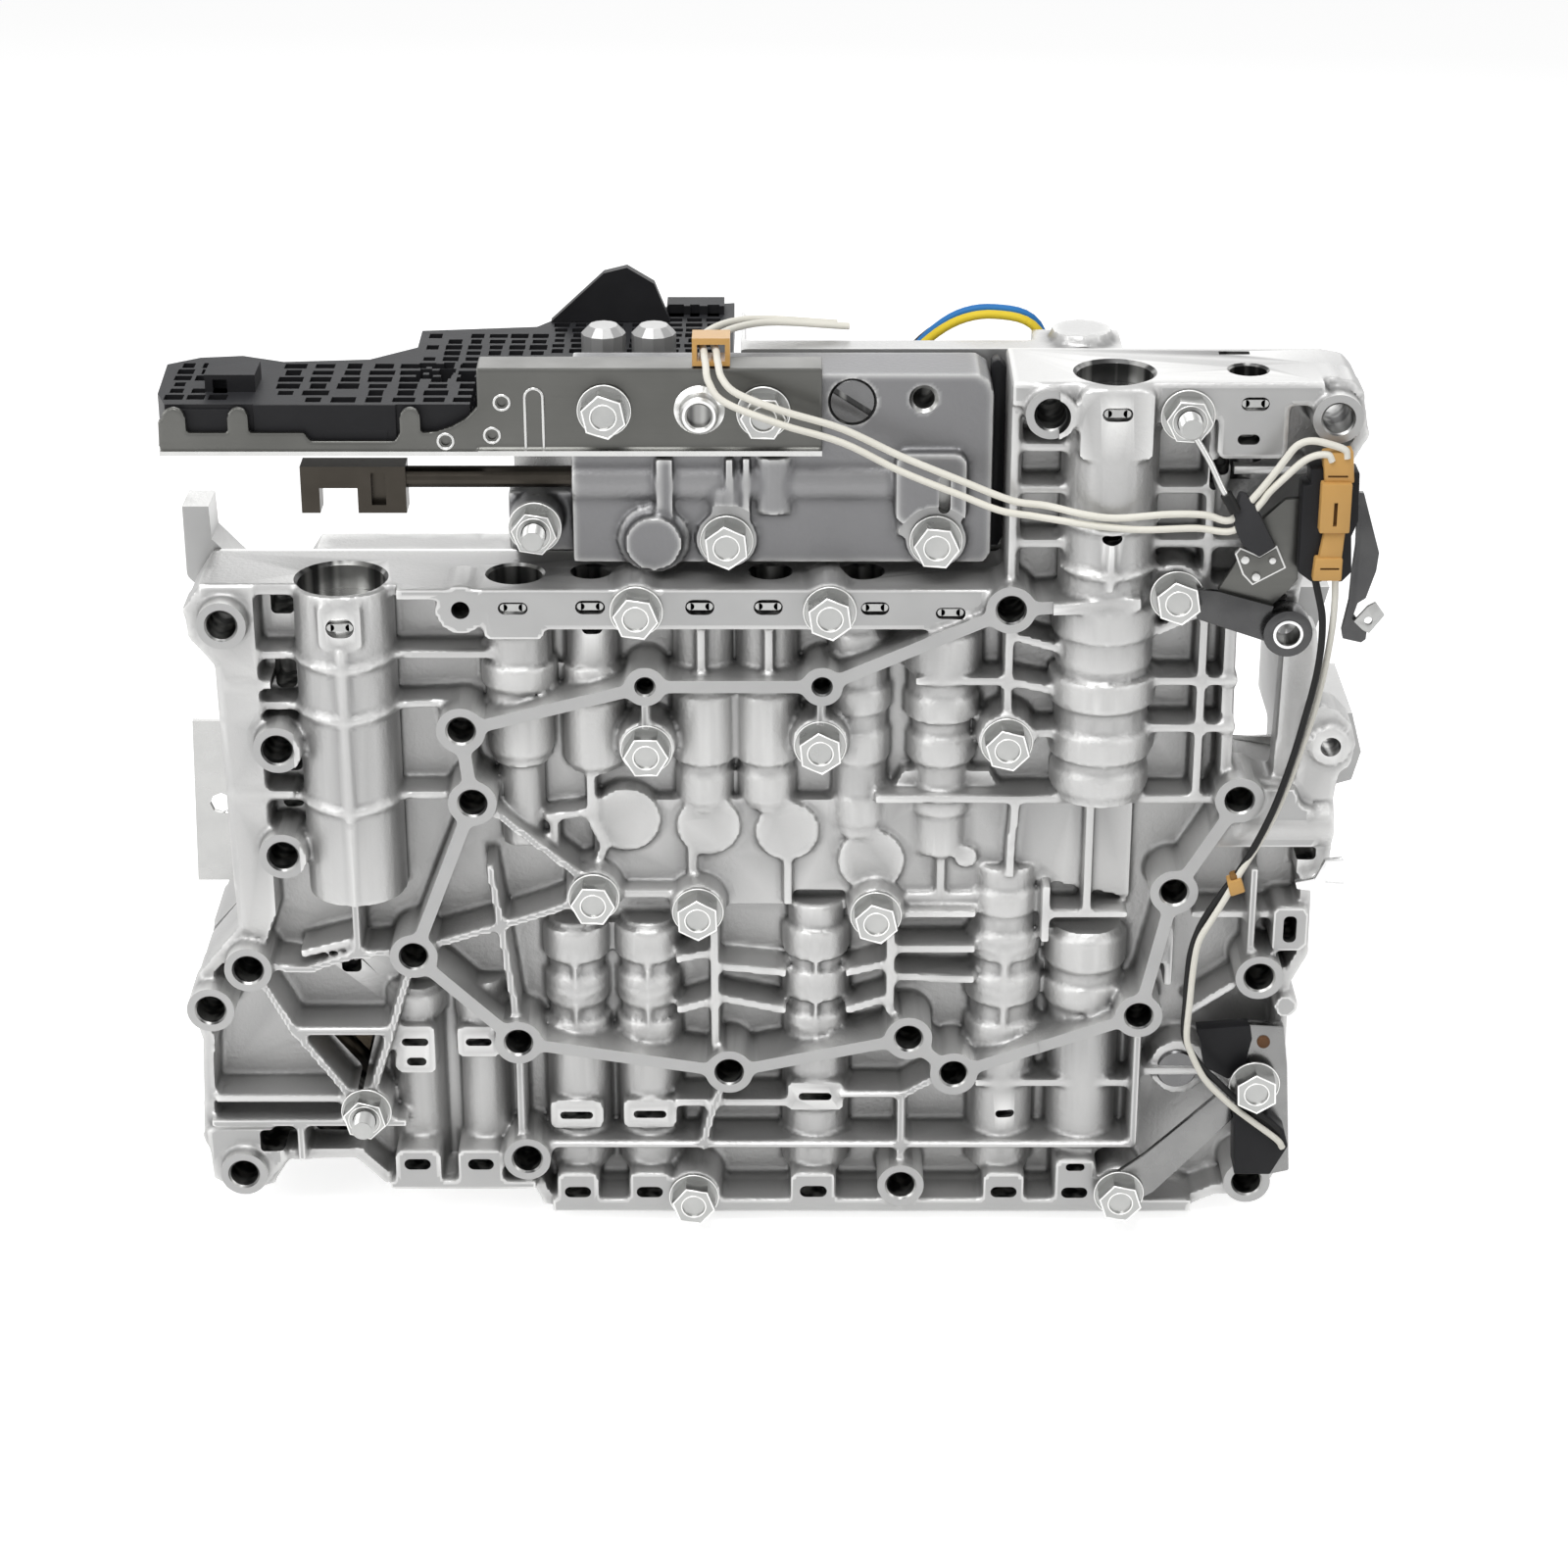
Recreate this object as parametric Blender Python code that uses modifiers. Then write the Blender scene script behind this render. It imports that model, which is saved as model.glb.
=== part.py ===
"""Valve body of an automatic transmission, standing on the joint flange of its castings.

X runs to the right, Y to the back and Z up, with the origin on the flat underside. The tables
below are in millimetres: x across, z up from the underside, and a depth that is measured
backwards from the machined front face. place() turns them into metres.
"""

import math

import bmesh
import bpy
from mathutils import Matrix, Vector

MM = 0.001
OBJECT_NAME = "transmission_valve_body"

# Clearances
GAP = 0.3
RUNNING_FIT = 0.05
SHANK_CLEARANCE = 0.4

# Front casting
FRONT_DEPTH = 30.0
FLOOR_DEPTH = 16.0
PANEL_DEPTH = 11.0
STRIP_DEPTH = 2.0
RIM_DEPTH = 6.0
RIM_WIDTH = 3.2
RIDGE_WIDTH = 3.2
RIB_WIDTH = 2.2
BOSS_RADIUS = 6.0
CASE_HOLE_RADIUS = 3.7
BLIND_HOLE_RADIUS = 3.4
BLIND_HOLE_DEPTH = 24.0
TOP_FACE = 181.0
COLUMN_HEIGHT = 53.5
COLUMN_TOP = TOP_FACE + COLUMN_HEIGHT
FRONT_EDGE = 4.5
SLOT_REACH = 9.0
BORE_SIDES = 16
BOSS_SIDES = 10
SEAT_SIDES = 8
BULGE_SIDES = 8

# Separator plate and rear casting
PLATE_THICKNESS = 1.6
REAR_DEPTH = 34.0
REAR_FLOOR = 14.0

# Manual valve casting, on the rear casting above the top face
MANUAL_FACE = 12.0
MANUAL_BASE = TOP_FACE + 3.3
MANUAL_HEIGHT = 49.0
MANUAL_TOP = MANUAL_BASE + MANUAL_HEIGHT
MANUAL_AXIS_DEPTH = 17.0
MANUAL_AXIS_HEIGHT = MANUAL_TOP - 28.0
MANUAL_BORE_RADIUS = 4.8
MANUAL_BULGE_RADIUS = 6.8

# Top of the rear casting: level with the manual valve casting, with a shelf for the conductor plate
REAR_TOP = MANUAL_TOP
CONDUCTOR_BASE = MANUAL_TOP - 17.1
CONDUCTOR_THICKNESS = 9.3
CONDUCTOR_TOP = CONDUCTOR_BASE + CONDUCTOR_THICKNESS
REAR_SHELF = CONDUCTOR_BASE - 3.2

# Flange bolts
THREAD_RADIUS = 3.0
FLANGE_RADIUS = 6.2
HEX_RADIUS = 5.77
HEAD_HEIGHT = 6.0
FLANGE_HEIGHT = 1.3

# Conductor plate on the top left
SHEET_THICKNESS = 1.8
LEAD_RADIUS = 1.15
LEAD_SPACING = 11.0

# Sensor, strap and arm on the right, and the solenoids behind
SENSOR_SEAT = 4.0 - GAP
SENSOR_THICKNESS = 4.0
STRAP_SEAT = STRIP_DEPTH - GAP
ARM_THICKNESS = 2.4
ARM_SEAT = 4.0 - GAP - ARM_THICKNESS
BRACKET_FACE = ARM_SEAT - GAP - SHEET_THICKNESS
SOLENOID_RADIUS = 5.6
SOLENOIDS = ((-41.5, 42.0), (-28.9, 42.0))
SOLENOID_RISE = 11.0
SOLENOID_TOP = CONDUCTOR_TOP + SOLENOID_RISE

# Springs
WIRE_RADIUS = 0.8
COILS = 3

# Valve bores that open in the top face: centre x, axis depth, bore radius
PRIMARY_BORE = (-106.9, 10.6, 11.2)
COLUMN_BORE = (84.0, 10.6, 9.3)
SECOND_BORE = (-63.3, 13.4, 6.8)
SMALL_BORES = ((-44.5, 14.8, 4.6), (0.3, 14.8, 5.0), (23.3, 14.8, 5.0))

LEAD_A = (
    (20, 43, 235.8), (-1, 39, 238.0), (-12.6, 24, 239.4), (-12.6, 10, 239.2), (-12.2, 6, 238.0),
    (-11.2, 3.5, 235.0), (-7.4, 2.0, 231.6), (3.7, 1.5, 227.4), (17.9, 3.0, 222.4), (32.2, 3.0, 215.4),
    (46.6, 2.0, 209.2), (59.0, 0.0, 204.4), (67.5, -1.0, 203.6), (76.9, -3.6, 202.4), (84.6, -3.8, 201.4),
    (96.9, -3.6, 202.2), (112.2, -3.4, 201.2), (118.0, -3.4, 201.4), (122.0, -3.5, 203.0),
    (124.0, -4.5, 208.0), (125.4, -6.0, 215.0), (129.0, -6.2, 222.4), (134.0, -6.2, 226.2),
    (138.4, -6.2, 225.4), (139.6, -6.2, 222.0), (139.6, -6.2, 218.9),
)
LEAD_B = (
    (17, 47, 235.4), (-5, 42, 238.0), (-15.6, 26, 239.4), (-15.6, 10, 239.2), (-15.2, 6, 237.8),
    (-14.4, 3.5, 234.0), (-10.4, 2.0, 229.4), (3.2, 1.5, 224.0), (17.9, 3.0, 218.9), (32.3, 3.0, 211.3),
    (46.7, 2.0, 205.1), (56.2, 0.0, 201.6), (63.8, -1.0, 200.4), (71.4, -2.4, 199.4), (78.9, -3.6, 198.6),
    (90.4, -3.8, 197.7), (103.7, -3.6, 198.6), (113.3, -3.4, 198.2), (119.0, -3.4, 198.3),
    (124.3, -3.6, 199.6), (127.0, -4.5, 204.5), (128.2, -6.0, 210.5), (129.6, -6.2, 216.0),
    (132.4, -6.2, 219.8), (135.0, -6.2, 221.4), (136.0, -6.2, 221.0), (136.0, -6.2, 218.9),
)
LEAD_LOW = (
    (135.0, -6.0, 184.0), (137.3, -5.0, 172.0), (135.4, -4.0, 157.9), (133.0, -4.0, 142.0),
    (129.0, -4.0, 131.0), (121.8, -3.9, 112.0), (118.0, -3.9, 100.6), (111.6, -4.0, 84.0),
    (107.4, -4.0, 66.0), (109.2, -4.0, 52.0), (113.4, -3.6, 38.0), (117.0, -3.4, 29.0),
)

CASE_BOSSES = {
    "upper_left": (-135.4, 172.2),
    "left_a": (-123.4, 138.6),
    "left_b": (-123.6, 109.1),
    "left_c": (-134.5, 76.6),
    "left_d": (-144.9, 64.9),
    "lower_left": (-139.2, 15.9),
    "lower_a": (-64.1, 20.4),
    "lower_b": (34.6, 12.4),
    "lower_right": (126.3, 13.5),
    "right": (126.4, 74.4),
    "column_left": (68.1, COLUMN_TOP - 7.5),
    "column_right": (137.3, COLUMN_TOP - 8.6),
}
RIDGE_BOSSES = {
    "a": (-77.2, 143.9),
    "b": (-75.0, 124.0),
    "c": (-91.6, 80.6),
    "d": (-65.4, 55.4),
    "e": (-10.6, 46.7),
    "f": (36.1, 56.6),
    "g": (48.0, 46.1),
    "h": (95.7, 63.2),
    "i": (103.3, 98.9),
    "j": (118.7, 124.8),
    "k": (59.7, 176.4),
}
RIDGE_PINS = {"l": (-30.9, 155.9), "m": (13.2, 155.9)}
RIDGE_CHAIN = "lmk", "la", "abcdefghij"

FRONT_OUTLINE = (
    (-141, TOP_FACE),
    (58.5, TOP_FACE),
    (58.5, COLUMN_TOP),
    (136, COLUMN_TOP),
    (146, COLUMN_TOP - 3.5),
    (147, COLUMN_TOP - 15.5),
    (134, 197),
    (131, 174),
    (116.5, 171),
    (117, 129.5),
    (133, 126.5),
    (139, 112),
    (139.5, 78),
    (134.5, 69),
    (134.5, 12),
    (128, 6.5),
    (119, 7.5),
    (112, FRONT_EDGE),
    (-59, FRONT_EDGE),
    (-63, 10.5),
    (-101, 10.5),
    (-109, 18),
    (-128, 17.5),
    (-134.5, 8.5),
    (-143.5, 8.5),
    (-149, 23),
    (-147.5, 53),
    (-151.5, 63),
    (-148, 73),
    (-136.5, 86),
    (-137.5, 154),
    (-142, 165),
)

# Vertical valve bulges: x, axis depth, then (radius, low z, high z) for each step
BULGES = (
    (-106.9, 10.6, ((14.0, 94.0, 180.5),)),
    (-63.3, 13.4, ((8.6, 131.0, 172.0), (6.6, 106.0, 133.0))),
    (-46.0, 14.8, ((5.8, 128.0, 172.0),)),
    (-17.1, 14.8, ((7.2, 118.0, 172.0),)),
    (-1.2, 14.8, ((7.4, 118.0, 172.0),)),
    (22.9, 14.8, ((7.4, 110.5, 172.0),)),
    (43.7, 14.8, ((9.5, 143.0, 172.0), (8.0, 105.0, 144.0))),
    (83.7, 10.6, ((12.1, 160.0, COLUMN_TOP - 0.5), (13.0, 149.0, 161.0), (11.4, 123.0, 150.0))),
    (-50.6, 14.8, ((7.0, 13.0, 52.0), (8.0, 51.0, 86.0))),
    (-31.7, 14.8, ((7.0, 13.0, 52.0), (8.0, 51.0, 86.0))),
    (12.0, 14.8, ((6.8, 13.0, 52.0), (8.2, 51.0, 90.0))),
    (61.0, 14.8, ((8.0, 13.0, 49.0), (9.4, 48.0, 102.0))),
    (82.5, 14.8, ((9.4, 19.0, 61.0), (10.5, 60.0, 82.0))),
    (-93.0, 16.4, ((6.8, 13.0, 66.0),)),
    (-75.5, 14.8, ((6.2, 13.0, 66.0),)),
)

# Ribs: depth of the front edge, then the points that the rib runs through
RIBS = (
    (3.0, (-94, 163.5), (-68, 163.5)),
    (3.0, (-94, 149.4), (-79, 149.4)),
    (3.0, (-94, 124.8), (-76, 124.8)),
    (3.0, (-134.5, 76.6), (-120, 74.8), (-107, 79.2), (-91.6, 80.6)),
    (3.0, (-134.5, 76.6), (-124, 57), (-107.5, 33.7)),
    (3.0, (-125, 57), (-100.5, 57)),
    (3.0, (-91.6, 80.6), (-98.8, 57), (-106, 33.7)),
    (3.0, (-106.3, 96), (-106.3, 79)),
    (3.0, (-71.6, 105), (-69.2, 87.6), (-65.8, 60)),
    (3.0, (-86, 82.5), (-69.2, 87.6), (-56, 92), (-45, 96.5)),
    (3.0, (-71, 121), (-45, 99)),
    (3.0, (-65.4, 55), (-65.4, 22.8), (96, 22.8), (96, 55.5)),
    (4.0, (-24.5, 35.0), (-14, 35.0), (4, 35.0)),
    (3.0, (-10.6, 46), (-15.0, 34), (-18, 22)),
    (3.0, (48.0, 46.1), (35.1, 38.0), (18, 38.0)),
    (3.0, (34.7, 38), (34.7, 14)),
    (6.0, (54, 40), (94, 40)),
    (4.0, (-14.2, 91), (-14.2, 52)),
    (4.0, (31.3, 90), (31.3, 62)),
    (5.0, (31.3, 90), (53, 90)),
    (5.0, (-45, 96), (-18.4, 96)),
    (5.0, (27, 122.7), (115.6, 122.7)),
    (5.0, (59.7, 138.5), (59.7, 172)),
    (5.0, (62.5, 122), (61.5, 106), (61.5, 101)),
    (5.0, (108.2, 173), (108.2, 124)),
    (5.0, (95, 155.2), (117, 155.2)),
    (5.0, (95, 142.4), (117, 142.4)),
    (4.0, (59.7, 176.4), (59.7, COLUMN_TOP - 5.5)),
    (5.0, (59, 206), (73, 206)),
    (5.0, (59, 192), (73, 192)),
    (5.0, (94, 206), (108, 206)),
    (5.0, (94, 192), (131, 192)),
    (5.0, (108.2, COLUMN_TOP - 4.5), (108.2, 172)),
    (5.0, (108, 211), (131, 211)),
    (3.0, (124, 104), (124, 80)),
    (3.0, (118.7, 124.8), (137, 120)),
    (4.0, (109, 62), (126, 74)),
    (5.0, (96, 44), (134, 44)),
    (4.0, (-146, 36.3), (-108, 36.3)),
    (3.0, (-147, 29.5), (-96, 29.5)),
)

# Windows right through the casting and deep pockets: x, z, width, height, depth reached
POCKETS = (
    (-122.6, 173.5, 4.6, 10.0, 27.0),
    (-122.6, 154.5, 5.0, 9.0, 27.0),
    (-121.6, 123.8, 4.0, 7.0, 27.0),
    (-121.6, 96.5, 4.0, 7.0, 27.0),
    (-130.0, 23.8, 10.0, 6.5, 27.0),
    (-117.0, 23.8, 9.6, 6.5, 27.0),
    (-109.8, 70.5, 5.2, 5.2, 27.0),
    (133.9, 86.9, 3.4, 7.5, 26.0),
    (110.5, 210.0, 6.0, 8.0, 24.0),
)

# Window beside the column, open through the plate and the rear casting
WINDOW_LEFT = 118.0
WINDOW_RIGHT = 131.0
WINDOW_TOP = 167.0

# Plate between the castings: the front outline with the ears that reach past it
PLATE_OUTLINE = (
    (-141, 180.5), (-64, 180.5), (-64, REAR_SHELF + 1), (57, REAR_SHELF + 1),
    (60, COLUMN_TOP - 10.5), (136, COLUMN_TOP - 10.5), (143, COLUMN_TOP - 16.5), (132, 196.5),
    (130, 170), (143.4, 170), (134, 134), (151, 135), (154, 124), (152, 116), (139, 112), (139, 78),
    (134, 69), (134, 12), (128, 6.5), (119, 7.5), (110, 0.2), (-56, 0.2), (-63, 10.5), (-101, 10.5),
    (-109, 18), (-128, 17.5), (-134.5, 8.5), (-143.5, 8.5), (-149, 23), (-147.5, 53), (-151.5, 63),
    (-151, 86), (-149.5, 133.5), (-137.5, 133.5), (-137.5, 154), (-142, 165),
)
REAR_OUTLINE = (
    (-148.5, 173), (-148.5, 198), (-140, 198), (-138.5, 188.5), (-131, 180), (-64, 180),
    (-64, REAR_SHELF), (-7, REAR_SHELF), (-7, REAR_TOP), (88, REAR_TOP), (88, COLUMN_TOP - 12.5),
    (136, COLUMN_TOP - 12.5), (142, COLUMN_TOP - 17.5), (131, 196),
    (129, 170), (143, 170), (134, 134), (151, 135), (154, 124), (152, 116), (139, 112), (138.5, 78),
    (134, 69), (134, 12), (128, 7), (110, 0), (-56, 0), (-63, 10.5), (-101, 10.5), (-109, 18),
    (-128, 17.5), (-134.5, 9), (-143, 9), (-148.5, 23), (-147, 53), (-150.5, 63), (-148, 73),
    (-136.5, 86), (-137, 154), (-141.5, 166),
)
REAR_HOLLOW = (
    (-135, 175), (-59, 175), (-59, REAR_SHELF - 6), (54, REAR_SHELF - 6), (60, REAR_SHELF + 3),
    (132, COLUMN_TOP - 18.5), (126, 197), (112, 170),
    (112, 132), (126, 118), (132, 110), (132, 78), (128, 66), (128, 20), (104, 6), (-52, 6), (-60, 16),
    (-100, 16), (-110, 24), (-142, 26), (-141, 52), (-144, 63), (-142, 72), (-131, 86), (-131, 154),
)
REAR_VALVES = ((-112, 30, 176), (-62, 14, 176), (-20, 14, 176), (28, 14, 176), (84, 14, 208))
REAR_WEBS = (
    ((-140, 100), (-90, 100), (-62, 130), (-20, 130)),
    ((-110, 60), (-62, 60), (28, 90), (60, 60), (138, 60)),
    ((28, 140), (60, 110), (114, 110)),
    ((-20, 170), (60, 170)),
)

# Retainer slots in the valve bulges: x, z, width, height
SLOTS = (
    (-106.9, 171.9, 7.4, 4.4),
    (-63.3, 176.1, 7.4, 3.2),
    (-44.2, 176.4, 7.4, 3.6),
    (-44.2, 168.0, 5.2, 2.7),
    (-17.1, 176.4, 7.2, 4.0),
    (-0.2, 176.4, 7.2, 4.0),
    (26.2, 176.1, 7.0, 3.4),
    (44.9, 174.8, 7.4, 3.0),
    (84.0, COLUMN_TOP - 7.1, 7.4, 3.4),
    (117.3, COLUMN_TOP - 5.3, 6.8, 3.4),
    (116.1, COLUMN_TOP - 14.3, 5.4, 2.6),
    (83.8, 195.7, 5.0, 2.6),
    (-93.0, 52.3, 7.0, 2.2),
    (-92.8, 46.5, 5.2, 2.4),
    (-76.3, 52.3, 6.8, 2.2),
    (-93.4, 17.7, 7.0, 3.2),
    (-76.6, 17.7, 6.8, 3.2),
    (-51.1, 30.9, 8.7, 2.2),
    (-31.7, 31.2, 8.7, 2.2),
    (11.9, 36.8, 8.7, 2.2),
    (-51.1, 9.2, 7.0, 3.2),
    (-32.0, 9.2, 7.0, 3.2),
    (11.5, 9.4, 7.2, 3.4),
    (62.1, 9.2, 7.0, 3.2),
    (80.9, 9.0, 7.0, 3.2),
    (62.1, 30.6, 5.0, 2.2),
    (80.9, 16.8, 5.0, 2.2),
)

# Raised slot pads: x, z, width, height, depth of the pad's face
PADS = (
    (-63.3, 174.0, 15.0, 13.0, STRIP_DEPTH),
    (-106.9, 168.5, 13.0, 21.0, -2.8),
    (84.0, COLUMN_TOP - 10.0, 18.0, 18.0, -1.0),
    (-93.0, 50.0, 11.0, 14.0, 6.0),
    (-76.3, 52.3, 12.0, 9.0, 6.0),
    (-51.1, 30.9, 14.2, 8.6, 5.0),
    (-31.7, 31.2, 14.2, 8.6, 5.0),
    (11.9, 36.8, 15.0, 9.0, 4.6),
    (-93.2, 16.5, 12.0, 11.0, STRIP_DEPTH),
    (-76.8, 16.5, 12.0, 11.0, STRIP_DEPTH),
    (-51.1, 10.0, 11.0, 10.0, STRIP_DEPTH),
    (-32.0, 10.0, 11.0, 10.0, STRIP_DEPTH),
    (11.5, 10.0, 12.0, 10.0, STRIP_DEPTH),
    (62.1, 10.0, 11.0, 10.0, STRIP_DEPTH),
    (80.9, 12.0, 11.0, 14.0, STRIP_DEPTH),
    (133.9, 86.9, 9.0, 13.0, 3.0),
    (117.2, COLUMN_TOP - 10.0, 17.0, 19.0, 1.6),
)

# Flange bolts: x, z, depth of the seat
BOLTS = {
    "bolt_top_a": (-32.8, 175.6, STRIP_DEPTH),
    "bolt_top_b": (15.0, 175.6, STRIP_DEPTH),
    "bolt_middle_a": (-30.9, 137.5, 4.0),
    "bolt_middle_b": (12.8, 138.6, 4.0),
    "bolt_middle_c": (59.7, 139.4, 4.0),
    "bolt_centre_a": (-45.0, 96.5, 3.0),
    "bolt_centre_b": (-18.4, 92.4, 3.0),
    "bolt_centre_c": (27.3, 91.4, 3.0),
    "bolt_bottom": (-20.2, 8.4, STRIP_DEPTH),
}
STRAP_BOLT = (92.4, 10.6)
SENSOR_BOLT = (126.6, 43.6)
ARM_BOLT = (100.4, 180.0)
BRACKET_BOLTS = {"bolt_bracket_a": (-40.1, MANUAL_TOP - 8.3), "bolt_bracket_b": (-1.3, MANUAL_TOP - 8.7)}
MANUAL_BOLTS = {"bolt_manual_a": (-10.5, MANUAL_BASE + 6.7), "bolt_manual_b": (41.3, MANUAL_BASE + 6.7)}
STUDS = {
    "stud_nut_column": (101.1, COLUMN_TOP - 8.0, 1.6),
    "stud_nut_lower_left": (-106.2, 33.7, 3.0),
}
MANUAL_STUD = (-57.9, MANUAL_BASE + 9.7)
BRACKET_NUT = (-19.5, MANUAL_TOP - 7.3)

SILVER = (0.56, 0.57, 0.58)
BRIGHT = (0.78, 0.79, 0.80)
STEEL = (0.50, 0.50, 0.49)
BLACK = (0.02, 0.02, 0.022)
TAN = (0.80, 0.55, 0.25)
CREAM = (0.85, 0.83, 0.76)


def collection(name, parent):
    made = bpy.data.collections.new(name)
    parent.children.link(made)
    return made


def clear_scene():
    for found in list(bpy.data.objects):
        bpy.data.objects.remove(found, do_unlink=True)


clear_scene()
PARTS = collection(OBJECT_NAME, bpy.context.scene.collection)
HELPERS = collection("cutters", bpy.context.scene.collection)


def place(x, depth, z):
    """A point in metres from x, the depth behind the machined face, and the height."""
    return Vector((x, depth - FRONT_DEPTH / 2, z)) * MM


def material(name, colour, roughness=0.45, metallic=0.0):
    if name in bpy.data.materials:
        return bpy.data.materials[name]
    made = bpy.data.materials.new(name)
    made.use_nodes = True
    shader = made.node_tree.nodes["Principled BSDF"]
    shader.inputs["Base Color"].default_value = (*colour, 1)
    shader.inputs["Roughness"].default_value = roughness
    shader.inputs["Metallic"].default_value = metallic
    return made


def finish(name):
    """The finishes of the pieces, made once each."""
    finishes = {
        "cast_aluminium": (SILVER, 0.55, 0.9),
        "zinc_steel": (BRIGHT, 0.3, 1.0),
        "sheet_steel": (STEEL, 0.4, 1.0),
        "ground_steel": (BRIGHT, 0.2, 1.0),
        "black_plastic": (BLACK, 0.5, 0.0),
        "grey_rubber": ((0.13, 0.13, 0.14), 0.6, 0.0),
        "tan_plastic": (TAN, 0.45, 0.0),
        "white_sleeve": (CREAM, 0.5, 0.0),
        "black_sleeve": ((0.03, 0.03, 0.03), 0.45, 0.0),
        "yellow_sleeve": ((0.85, 0.65, 0.05), 0.45, 0.0),
        "blue_sleeve": ((0.05, 0.22, 0.55), 0.45, 0.0),
        "strainer_felt": ((0.32, 0.26, 0.2), 0.8, 0.0),
    }
    return material(name, *finishes[name])


def from_bmesh(name, shape):
    mesh = bpy.data.meshes.new(name)
    shape.to_mesh(mesh)
    shape.free()
    mesh.shade_smooth()
    mesh.set_sharp_from_angle(angle=math.radians(35))
    return bpy.data.objects.new(name, mesh)


def box(low, high):
    """A block between two corners, each x, depth, z."""
    shape = bmesh.new()
    bmesh.ops.create_cube(shape, size=1)
    first = place(*low)
    last = place(*high)
    size = last - first
    bmesh.ops.scale(shape, vec=size, verts=shape.verts)
    bmesh.ops.translate(shape, vec=(first + last) / 2, verts=shape.verts)
    return from_bmesh("block", shape)


def centred_box(x, z, width, height, front, back):
    return box((x - width / 2, front, z - height / 2), (x + width / 2, back, z + height / 2))


def round_bar(start, end, radius, sides=12, end_radius=None):
    """A round bar or cone between two points, each x, depth, z."""
    first = place(*start)
    last = place(*end)
    shape = bmesh.new()
    bmesh.ops.create_cone(
        shape,
        cap_ends=True,
        segments=sides,
        radius1=radius * MM,
        radius2=(radius if end_radius is None else end_radius) * MM,
        depth=(last - first).length,
    )
    turn = (last - first).to_track_quat("Z", "Y").to_matrix().to_4x4()
    bmesh.ops.transform(shape, matrix=Matrix.Translation((first + last) / 2) @ turn, verts=shape.verts)
    return from_bmesh("round", shape)


def upright(x, depth, low, high, radius, sides=12):
    return round_bar((x, depth, low), (x, depth, high), radius, sides)


def drilled(x, z, front, back, radius, sides=8):
    """A bar that runs from front to back, for bosses and for the holes in them."""
    return round_bar((x, front, z), (x, back, z), radius, sides)


def wall(first, last, width, front, back):
    """A straight web of even width between two points of the front view."""
    x0, z0 = first
    x1, z1 = last
    length = math.hypot(x1 - x0, z1 - z0)
    shape = bmesh.new()
    bmesh.ops.create_cube(shape, size=1)
    bmesh.ops.scale(shape, vec=Vector((length, back - front, width)) * MM, verts=shape.verts)
    turn = Matrix.Rotation(-math.atan2(z1 - z0, x1 - x0), 4, "Y")
    centre = place((x0 + x1) / 2, (front + back) / 2, (z0 + z1) / 2)
    bmesh.ops.transform(shape, matrix=Matrix.Translation(centre) @ turn, verts=shape.verts)
    return from_bmesh("wall", shape)


def walls(points, width, front, back):
    """A web through several points."""
    return [wall(a, b, width, front, back) for a, b in zip(points, points[1:])]


def flat_curve(name, outline, half_thickness):
    curve = bpy.data.curves.new(name, "CURVE")
    curve.dimensions = "2D"
    curve.fill_mode = "BOTH"
    curve.extrude = half_thickness * MM
    spline = curve.splines.new("POLY")
    spline.points.add(len(outline) - 1)
    for point, (across, along) in zip(spline.points, outline):
        point.co = (across * MM, along * MM, 0, 1)
    spline.use_cyclic_u = True
    return bpy.data.objects.new(name, curve)


def mesh_of(piece, name, matrix):
    """The mesh of a curve with its caps welded on, put where the matrix says."""
    mesh = bpy.data.meshes.new_from_object(piece)
    bpy.data.objects.remove(piece)
    shape = bmesh.new()
    shape.from_mesh(mesh)
    bpy.data.meshes.remove(mesh)
    bmesh.ops.remove_doubles(shape, verts=shape.verts, dist=0.00001)
    bmesh.ops.transform(shape, matrix=matrix, verts=shape.verts)
    bmesh.ops.recalc_face_normals(shape, faces=shape.faces)
    return from_bmesh(name, shape)


def prism(outline, front, back):
    """An outline of the front view, x and z, as a solid between two depths."""
    turn = Matrix.Rotation(math.radians(90), 4, "X")
    matrix = Matrix.Translation(place(0, (front + back) / 2, 0)) @ turn
    return mesh_of(flat_curve("outline", outline, (back - front) / 2), "prism", matrix)


def plan_prism(outline, low, high):
    """An outline of the plan view, x and depth, as a solid between two heights."""
    matrix = Matrix.Translation(place(0, 0, (low + high) / 2))
    return mesh_of(flat_curve("outline", outline, (high - low) / 2), "plan", matrix)


def inset(outline, distance):
    """The outline moved inwards by a distance, corner by corner."""
    area = sum(a[0] * b[1] - b[0] * a[1] for a, b in zip(outline, outline[1:] + outline[:1]))
    side = 1 if area > 0 else -1
    moved = []
    count = len(outline)
    for index, point in enumerate(outline):
        here = Vector(point)
        before = (here - Vector(outline[index - 1])).normalized()
        after = (Vector(outline[(index + 1) % count]) - here).normalized()
        normal_before = Vector((-before.y, before.x)) * side
        normal_after = Vector((-after.y, after.x)) * side
        middle = (normal_before + normal_after).normalized()
        reach = distance / max(0.5, middle.dot(normal_before))
        moved.append(tuple(here + middle * reach))
    return tuple(moved)


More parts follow.
